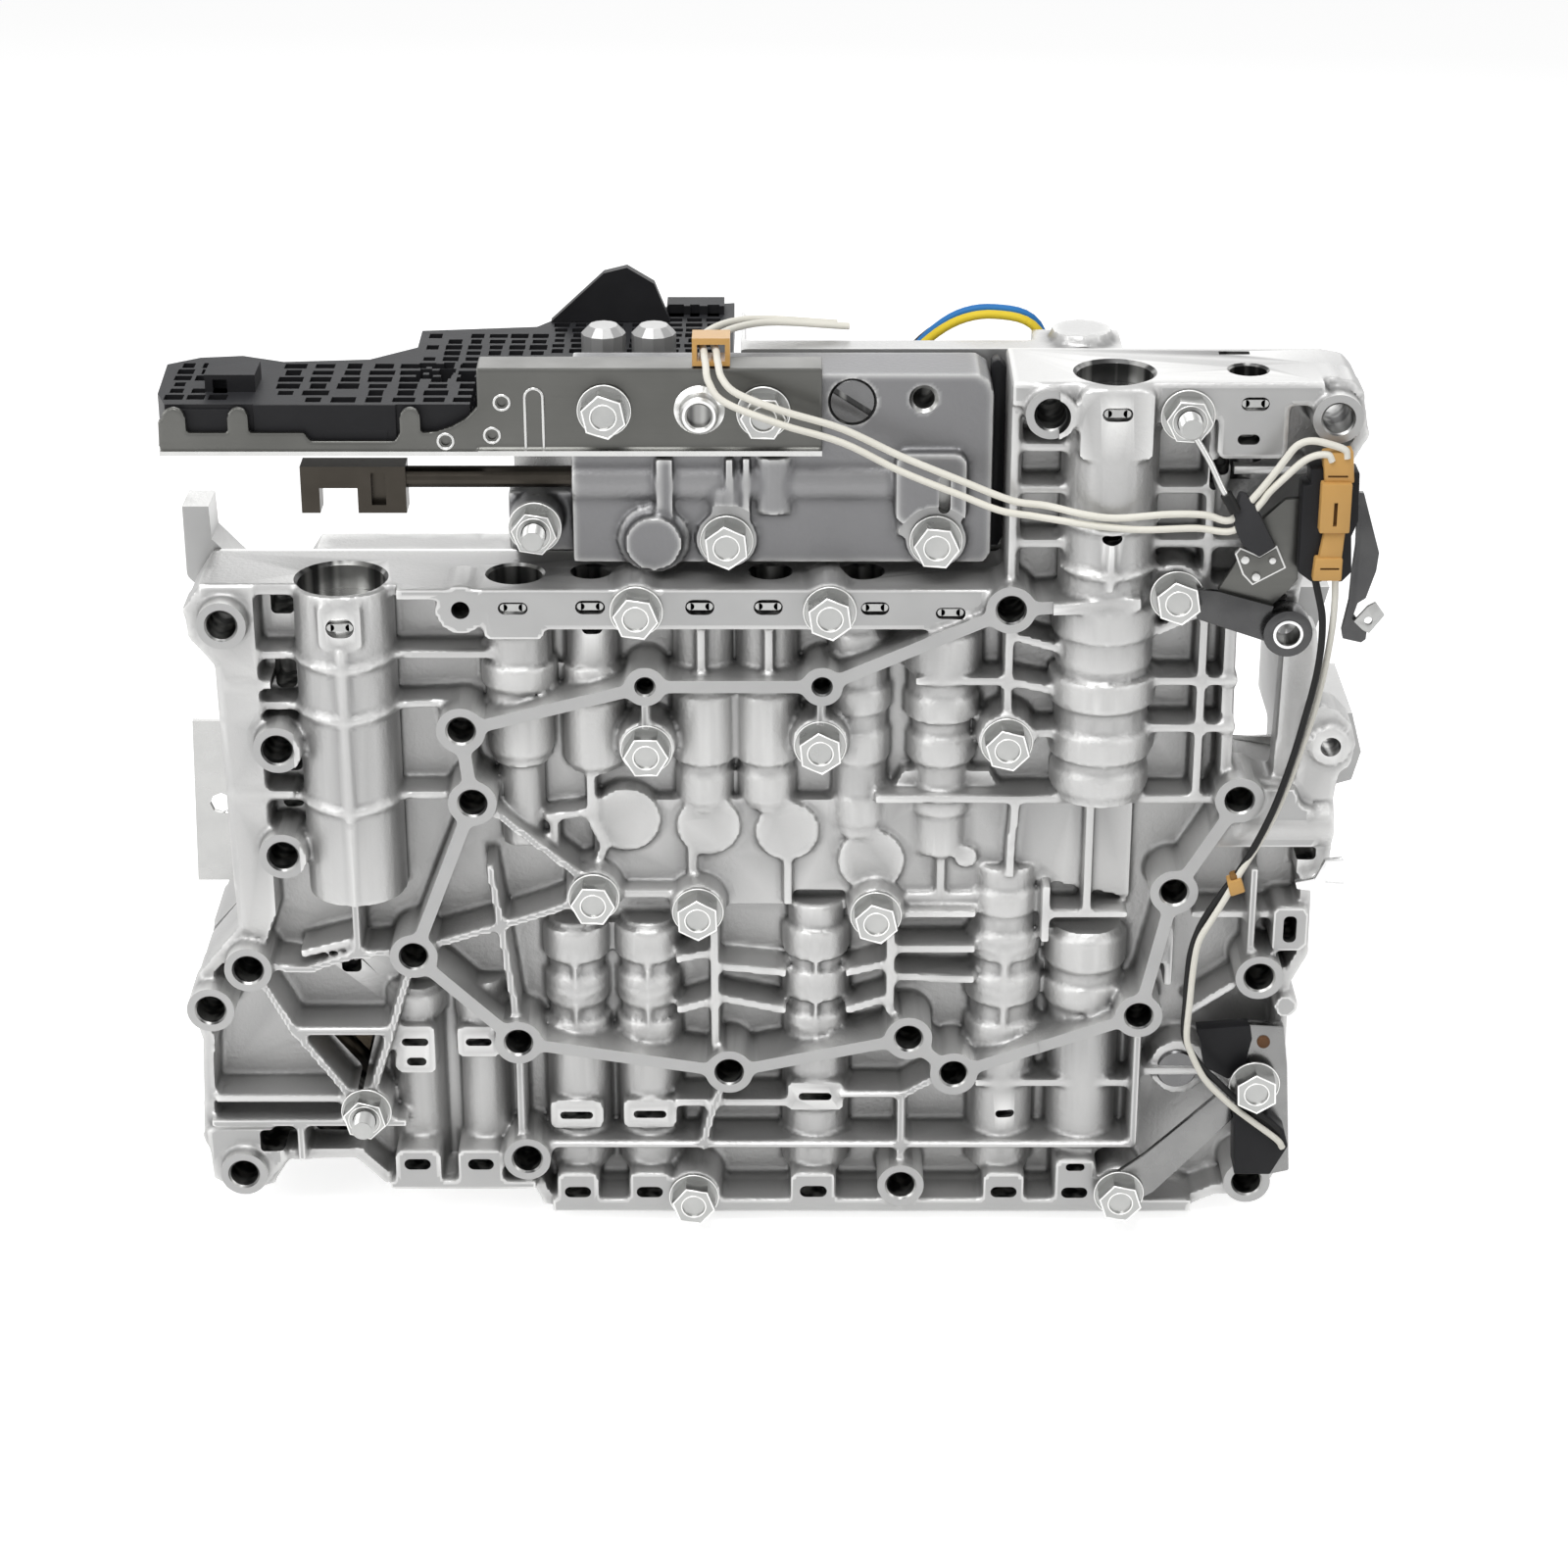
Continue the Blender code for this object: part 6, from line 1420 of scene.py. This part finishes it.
def housing():
    """The black conductor plate, its top broken up by small pockets, on the bracket."""
    body = Solid(0)
    body.plan(HOUSING_OUTLINE, 216.2, 225.5)
    body.box((-139.0, 22.0, 222.0), (-126.5, 33.5, 229.9))
    body.box((-27.0, 86.0, 222.0), (-12.0, 94.0, 227.9))
    piece = body.object("conductor_plate", (BLACK, BLACK_LIT_TOP))
    skin = Solid(0)
    for x, depth in SOLENOIDS:
        skin.upright(x, depth, 210, 232, 6.0, 32)
    cut(piece, skin.object("solenoid_holes", (BLACK,)))
    groups = (
        ("pockets_front", (-119.0, 16.0, 225.2), 7, 6, (7.4, 5.3), (6.6, 4.5, 7.0), 3, 0.96),
        ("pockets_left", (-146.0, 18.0, 225.2), 3, 6, (5.4, 5.0), (4.8, 4.2, 7.0), 5, 0.9),
        ("pockets_middle", (-86.0, 34.0, 225.2), 6, 8, (5.4, 4.8), (4.8, 4.0, 7.0), 8, 0.92),
        ("pockets_back", (-54.0, 55.0, 225.2), 9, 8, (4.9, 4.4), (4.3, 3.5, 7.0), 13, 0.92),
    )
    for group in groups:
        cut(piece, pocket_rows(*group))
    # Upward faces on top take the lighter black: painted light falling on the top.
    for face in piece.data.polygons:
        if face.normal.z > 0.9 and face.center.z > 0.2245:
            face.material_index = 1
    smooth_edges(piece, 30)
    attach(piece, "castings")
    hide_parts("conductor_housing")
    rail = Solid(0)
    rail.box((-109.0, 11.8, 212.5), (-93.2, 12.6, 219.0))
    rail.box((-147.0, 11.9, 216.4), (-131.5, 13.0, 224.4))
    rail.box((-126.0, 11.9, 216.4), (-91.0, 12.6, 225.5))
    edge = rail.object("conductor_rail", (BLACK,))
    apply(edge, "BEVEL", width=0.0002, segments=2, limit_method="ANGLE", angle_limit=0.6)
    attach(edge, "castings")


bracket()
weld_rings()
housing()


# Leads.

LEAD_A = (
    (20, 43, 235.8), (-1, 39, 238.0), (-12.6, 24, 239.4), (-12.6, 10, 239.2), (-12.2, 6, 238.0),
    (-11.2, 3.5, 235.0), (-7.4, 2.0, 231.6), (3.7, 1.5, 227.4), (17.9, 3.0, 222.4), (32.2, 3.0, 215.4),
    (46.6, 2.0, 209.6), (59.0, 0.0, 205.2), (67.5, -1.0, 204.2), (76.9, -3.6, 202.8), (84.6, -3.8, 202.0),
    (96.9, -3.6, 202.9), (105.6, -4.2, 203.0), (111.9, -4.9, 201.9), (117.1, -5.0, 207.5),
    (121.4, -5.2, 213.3), (124.3, -5.6, 217.8), (126.8, -6.0, 221.3), (130.2, -6.2, 222.6),
    (135.0, -6.2, 221.6), (138.4, -6.2, 220.2), (139.0, -6.2, 218.2),
)
LEAD_B = (
    (17, 47, 235.4), (-5, 42, 238.0), (-15.6, 26, 239.4), (-15.6, 10, 239.2), (-15.2, 6, 237.8),
    (-14.4, 3.5, 234.0), (-10.4, 2.0, 229.4), (3.2, 1.5, 224.0), (17.9, 3.0, 218.9), (32.3, 3.0, 211.5),
    (46.7, 2.0, 205.8), (56.2, 0.0, 202.6), (63.8, -1.0, 201.6), (71.4, -2.4, 200.8), (78.9, -3.6, 200.0),
    (90.4, -3.8, 199.0), (103.7, -3.8, 199.4), (112.8, -4.8, 199.2), (118.7, -5.0, 205.9),
    (120.9, -5.2, 209.2), (124.5, -5.4, 213.1), (128.2, -5.8, 217.0), (131.4, -6.0, 218.8),
    (134.4, -6.2, 219.0), (135.4, -6.2, 217.4),
)
LEAD_BLACK = (
    (133.2, -5.0, 187.0), (134.6, -5.0, 181.6), (135.7, -5.0, 176.5), (135.9, -5.0, 169.7),
    (135.4, -5.0, 162.8),
    (134.5, -4.8, 156.7), (133.4, -4.6, 151.0), (130.9, -4.2, 139.0), (127.2, -4.0, 125.5),
    (123.0, -3.8, 114.7),
    (118.8, -3.6, 106.3), (115.1, -3.5, 100.6), (110.4, -3.5, 92.1), (108.0, -3.5, 84.1), (107.4, -3.5, 76.0),
    (107.3, -3.5, 69.0), (107.2, -3.5, 60.9), (108.5, -3.5, 56.2), (111.8, -3.5, 50.8), (116.8, -3.4, 45.5),
    (122.8, -3.2, 39.5), (130.5, -2.8, 33.6), (134.0, -2.4, 29.8),
)
LEAD_WHITE = (
    (138.2, -5.0, 187.0), (138.6, -4.2, 180.0), (138.4, -3.6, 172.0), (137.4, -3.2, 162.0),
    (135.6, -3.0, 151.0),
    (132.6, -2.8, 139.0), (128.6, -2.8, 125.5), (124.0, -3.2, 115.0), (119.5, -4.2, 107.1),
    (116.2, -4.6, 100.3),
    (112.6, -4.8, 93.5), (109.8, -4.8, 87.8), (108.7, -4.8, 80.9), (108.1, -4.8, 69.3), (107.8, -4.8, 60.0),
    (109.1, -4.8, 55.2), (113.2, -4.6, 47.0), (119.8, -4.4, 39.8), (125.6, -4.2, 34.8), (132.8, -3.8, 28.8),
    (134.6, -3.4, 26.0),
)
ROD = ((102.2, -5.4, 223.5), (106.0, -5.6, 217.3), (109.4, -6.0, 210.4), (112.8, -6.0, 204.6))


def eased(points, steps=6):
    """Points on a smooth curve through the given ones."""
    path = [Vector(point) for point in points]
    ends = [path[0] * 2 - path[1]] + path + [path[-1] * 2 - path[-2]]
    made = []
    for a, b, c, d in zip(ends, ends[1:], ends[2:], ends[3:]):
        for step in range(steps):
            t = step / steps
            made.append((b * 2 + (c - a) * t + (a * 2 - b * 5 + c * 4 - d) * t * t
                         + (b * 3 - a - c * 3 + d) * t * t * t) / 2)
    return made + [path[-1]]


def sleeve(name, points, radius, finish, slot, *nodes):
    """A round lead through the points."""
    curve = bpy.data.curves.new(name, "CURVE")
    curve.dimensions = "3D"
    curve.bevel_depth = radius * MM
    curve.bevel_resolution = 4
    curve.use_fill_caps = True
    path = eased(points)
    spline = curve.splines.new("POLY")
    spline.points.add(len(path) - 1)
    for knot, point in zip(spline.points, path):
        knot.co = (*place(*point), 1)
    holder = bpy.data.objects.new(name + "_path", curve)
    mesh = bpy.data.meshes.new_from_object(holder)
    bpy.data.objects.remove(holder)
    shape = bmesh.new()
    shape.from_mesh(mesh)
    bmesh.ops.remove_doubles(shape, verts=shape.verts, dist=0.000001)
    bmesh.ops.recalc_face_normals(shape, faces=shape.faces)
    shape.to_mesh(mesh)
    shape.free()
    mesh.materials.append(finish)
    piece = bpy.data.objects.new(name, mesh)
    bpy.context.scene.collection.objects.link(piece)
    smooth_edges(piece, 60)
    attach(piece, "castings")
    if nodes:
        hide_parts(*nodes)
    return piece


def leads():
    """The round leads, each whole from end to end."""
    sleeve("sleeve_white_a", LEAD_A, 0.9, CREAM, "white_sleeve", "lead_white_a")
    sleeve("sleeve_white_b", LEAD_B, 0.9, CREAM, "white_sleeve", "lead_white_b")
    sleeve("sleeve_black", LEAD_BLACK, 0.9, BLACK_SLEEVE, "black_sleeve", "lead_black")
    sleeve("sleeve_white_c", LEAD_WHITE, 0.85, CREAM, "white_sleeve", "lead_white_c")
    sleeve("selector_rod", ROD, 0.8, BRIGHT, "sheet_steel")
    sleeve("selector_rod_sleeve", ((110.3, -6.0, 209.0), (111.6, -6.0, 206.8), (112.8, -6.0, 204.6)), 1.5,
           BLACK_SLEEVE,
           "black_sleeve")
    arcs = (("yellow", 51.5, 0.0, YELLOW, "yellow_sleeve"), ("blue", 54.2, 0.8, BLUE, "blue_sleeve"),
            ("grey", 56.9, -0.6, BLACK_SLEEVE, "black_sleeve"))
    for name, depth, rise, finish, slot in arcs:
        points = ((33, depth, 214), (36, depth, 225.0), (46, depth, 233.8 + rise), (57, depth, 236.2 + rise),
                  (68, depth, 232.0 + rise), (73.5, depth, 214))
        sleeve("sleeve_" + name, points, 1.15, finish, slot, "lead_" + name)


leads()


# Small parts.

def plates(name, finishes, shapes, bevel=0.3, nodes=(), bores=()):
    """Flat pieces from outlines of the front view, each with its depths and finish, with broken edges."""
    solid = Solid()
    for finish, front, back, outline in shapes:
        solid.finish = finish
        solid.prism(outline, front, back)
    piece = solid.object(name, finishes)
    if bores:
        holes = Solid(len(finishes) - 1)
        for x, z, front, back, radius in bores:
            holes.drill(x, z, front, back, radius, 24)
        cut(piece, holes.object(name + "_bores", finishes))
    apply(piece, "BEVEL", width=bevel * MM, segments=2, limit_method="ANGLE", angle_limit=0.6)
    smooth_edges(piece, 35)
    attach(piece, "castings")
    if nodes:
        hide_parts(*nodes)
    return piece


def disc(x, z, radius, sides=24):
    """A round outline of the front view."""
    return [(x + math.cos(2 * math.pi * step / sides) * radius,
             z + math.sin(2 * math.pi * step / sides) * radius)
            for step in range(sides)]


def selector_side():
    """The selector linkage, connector and sheets at the upper right."""
    plates("lead_pad_moulding", (RUBBER,), (
        (0, -6.0, -2.0, ((113.9, 208.6), (112.5, 203.8), (113.1, 199.6), (115.2, 195.4), (119.3, 192.5),
                         (123.2, 195.2), (119.6, 202.1), (117.4, 206.2), (115.4, 208.3))),), 0.5,
           ("lead_pad",))
    plates("selector_arm_sheet", (DARK_SHEET, SHEET), (
        (1, -1.0, 1.0, ((118, 198.6), (125.5, 205.7), (129.2, 206.1), (129.8, 185.1), (128, 182.4),
                        (123.5, 177.9),
                        (110.2, 182.1), (113.8, 188.5))),
        (0, -2.2, -0.6, ((104.5, 182.8), (110.1, 182.3), (124.1, 178.3), (122.7, 168.9), (105.3, 174.9))),
        (0, -4.0, 4.0, disc(127.7, 171.7, 6.1, 40))), 0.3, ("selector_arm",), ((127.7, 171.7, -6, 6, 3.0),))
    plates("selector_hub_ring", (WHITE_SHEET, SHADED_BORE), (
        (0, -4.4, -3.2, disc(127.7, 171.7, 3.7, 32)),), 0.15, (), ((127.7, 171.7, -6, 0, 3.0),))
    outline = ((113.9, 193), (114.8, 194.2), (119.5, 192.1), (123.4, 194.6), (125.6, 189.6), (118.2, 185.4),
               (115.9, 187.9))
    # The slightly larger bright outline behind the sheet shows as a painted highlight round its edges.
    plates("selector_sheet", (SHEET, BRIGHT), (
        (0, -5.0, -3.4, outline), (1, -4.7, -3.6, inset(outline, -0.45))), 0.15)
    plates("selector_rivets", (BRIGHT,), (
        (0, -5.8, -4.6, disc(115.9, 191.8, 1.1, 16)), (0, -5.8, -4.6, disc(118.8, 187.3, 1.1, 16)),
        (0, -5.8, -4.6, disc(122.6, 191.6, 0.9, 16))), 0.3)
    plates("sheet_bracket_wing", (DARK_SHEET, ZINC, SHADED_BORE), (
        (0, 0.0, 1.8, ((143.1, 207), (144.7, 207), (149.4, 191.5), (149, 186.8), (146.9, 179.6), (145, 178.3),
                       (144.2, 175.3), (147.7, 170.6), (147.6, 168.7), (146.5, 167.8), (141.9, 168.9),
                       (141.5, 171.1),
                       (142.8, 178.8), (143, 186.4), (143.5, 193.2))),
        (1, -1.2, -0.2, ((144.1, 173.9), (147.3, 177.9), (149.2, 179), (151.6, 175.6), (148.1, 170.8),
                         (146.5, 171.6)))), 0.25, ("sheet_bracket",), ((147.7, 174.1, -3, 0.5, 1.0),))
    plates("connector_cradle", (BLACK,), (
        (0, -5.0, 2.0, ((130.6, 215.1), (134.1, 215.1), (135.1, 185.8), (132.4, 185.8), (129.1, 188.3),
                        (128.9, 210.8), (130.9, 210.8))),
        (0, -5.0, 2.0, ((138.7, 214.1), (142.5, 214.1), (143, 201.7), (141.5, 197.6), (142.1, 188.3),
                        (139.9, 185.8), (138.7, 185.8))),
        (0, -2.0, 1.6, ((133.5, 213.5), (139.5, 213.5), (139.5, 187.0), (133.5, 187.0)))), 0.4,
        ("connector_holder",))
    piece = plates("lead_connector_moulding", (TAN, TAN_DARK), (
        (0, -6.6, -2.0, ((133.2, 219.3), (140.4, 220.1), (141.1, 211.9), (133.9, 211.9))),
        (0, -8.0, -2.0, ((133.1, 212.2), (140.5, 212.2), (140.5, 199.5), (133.1, 199.5))),
        (0, -7.0, -2.0, ((134.7, 200.5), (139.7, 200.5), (139.2, 192.0), (133.5, 192.0))),
        (0, -7.6, -2.0, ((132.7, 192.9), (139.4, 192.9), (139.4, 187), (132.3, 187)))), 0.45,
                   ("lead_connector",))
    slot = Solid(1)
    slot.box((136.3, -9.0, 201.4), (137.2, -6.6, 207.4))
    slot.box((134.6, -9.0, 213.4), (139.4, -6.1, 213.9))
    slot.box((134.0, -9.0, 190.0), (138.6, -7.0, 190.5))
    cut(piece, slot.object("connector_slots", (TAN, TAN_DARK)))
    smooth_edges(piece, 35)
    plates("lead_clip", (TAN, TAN_DARK), (
        (0, -6.2, -1.4, ((115.9, 104.6), (119.4, 105.7), (120.7, 102.0), (117.0, 100.6))),
        (1, -5.4, -2.0, ((116.6, 106.0), (118.2, 106.6), (118.8, 105.2), (117.0, 104.4)))), 0.5,
           ("tan_clip",))


def speed_sensor():
    """The sensor at the lower right with its sheet strap."""
    plates("speed_sensor_moulding", (BLACK, LIGHT_SHEET, BROWN), (
        (0, -3.0, 6.0,
         ((121.5, 35.7), (130.4, 35.7), (134.9, 30.9), (136.2, 26), (131.9, 17.5), (122.4, 17.5))),
        (0, 1.4, 6.0, ((111, 58.5), (125, 59.7), (125.7, 55.5), (124.1, 47.2), (120.1, 43.6), (113.6, 47.2),
                       (112.2, 54.3))),
        (1, 2.0, 5.0, ((124.4, 59.7), (133.9, 59.1), (135.4, 47.2), (137.6, 15.8), (132.7, 14.6),
                       (124.0, 17.0),
                       (121.0, 36.0), (123.6, 47.2))),
        (2, 0.8, 3.0, disc(128.7, 54.8, 1.7, 24))), 0.45, ("speed_sensor",))
    plates("sensor_strap_sheet", (LIGHT_SHEET,), (
        (0, -0.4, 1.4, ((98.8, 21.9), (116.9, 39.7), (120.1, 38.8), (121.7, 33), (101.6, 10.6), (95.2, 6.6),
                        (88.6, 8.9), (89.7, 14.8))),), 0.3, ("sensor_strap",))


def side_spring():
    """The bent spring clip at the right edge."""
    plates("side_spring_clip", (WHITE_SHEET,), (
        (0, 0.4, 2.4, ((134, 101.6), (139, 102.6), (141.4, 107.8), (146.2, 108.2), (146.6, 106.6),
                       (142.8, 105.6),
                       (141.4, 101.8), (146.8, 101.4), (146.8, 99.4), (141, 98.8), (134.6, 99.6))),), 0.4)


def separator_sheet():
    """The separator plate without the corners that the photo does not show."""
    piece = copy_of("separator_plate", "separator_sheet")
    piece.data.materials.clear()
    piece.data.materials.append(SEPARATOR)
    cutter = Solid(0)
    cutter.box((133, 10, 112), (160, 50, 172))
    cutter.box((-160, 10, 60), (-137.5, 50, 87.8))
    cut(piece, cutter.object("separator_corner", (SEPARATOR,)))
    smooth_edges(piece)
    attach(piece, "castings")
    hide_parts("separator_plate")


def gap_shadow_strip():
    """A black strip in the gap between the manual valve casting and the column, as painted shadow."""
    plates("column_seal", (BLACK, RUBBER), (
        (0, 24.0, 29.0,
         ((54.8, 184.4), (57.4, 184.4), (58.6, 187.0), (58.6, 231.0), (56.6, 233.2), (54.8, 232.4))),),
        0.5)


def slot_retainers():
    """The sheet retainers seen a little below the mouths of the slots."""
    tree = Grower("slot_retainers")
    width = tree.millimetres("Retainer Width", 4.6)
    height = tree.millimetres("Retainer Height", 1.9)
    thick = tree.millimetres("Retainer Thickness", 1.2)
    block = tree.add("GeometryNodeMeshCube", None, tree.vector(width, height, thick))
    spot = tree.moved(tree.add("GeometryNodeMeshCylinder", None, Vertices=20, Radius=height * 0.5,
                               Depth=thick),
                      x=width * 0.5)
    other = tree.moved(tree.add("GeometryNodeMeshCylinder", None, Vertices=20, Radius=height * 0.5,
                                Depth=thick),
                       x=width * -0.5)
    seats = ((-105.8, -1.0, 172.4), (-63.3, 3.2, 176.1), (-44.2, 3.2, 176.4), (-17.1, 3.2, 176.4),
             (-0.2, 3.2, 176.4), (26.2, 3.2, 176.1), (44.9, 3.2, 174.8), (84.0, 0.2, 227.4),
             (117.3, 2.6, 229.2))
    piece = tree.grow(set_on_points(tree, tree.together(block, spot, other)), ZINC,
                      points_mesh("retainer_seats", seats), "slot_retainers")
    smooth_edges(piece, 40)
    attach(piece, "castings")


slotted_plug("manual_slotted_plug", *MANUAL_PLUG, 12.0, 5.7, 1.5, -33)
slotted_plug("lower_slotted_plug", 107.0, 44.1, 6.0, 5.4, 1.1, 0)
selector_side()
speed_sensor()
side_spring()
separator_sheet()
gap_shadow_strip()
slot_retainers()


# CAD pieces that keep their shape and get a finish.

def dress(node, finish):
    """Gives a CAD piece its finish."""
    piece = frame["nodes"][node]
    piece.data.materials.clear()
    piece.data.materials.append(finish)


for node, finish in (
        ("manual_valve", GROUND), ("regulator_valve", GROUND),
        ("regulator_plug", BRIGHT), ("column_valve", GROUND), ("column_plug", BRIGHT),
        ("clutch_valve", GROUND), ("regulator_spring", BRIGHT), ("column_spring", BRIGHT),
        ("solenoid_a", MACHINED), ("solenoid_b", MACHINED), ("conductor_flap", BLACK), ("yellow_clip", TAN),
        ("strainer", FELT), ("side_plug", ZINC), ("side_clip", ZINC)):
    dress(node, finish)
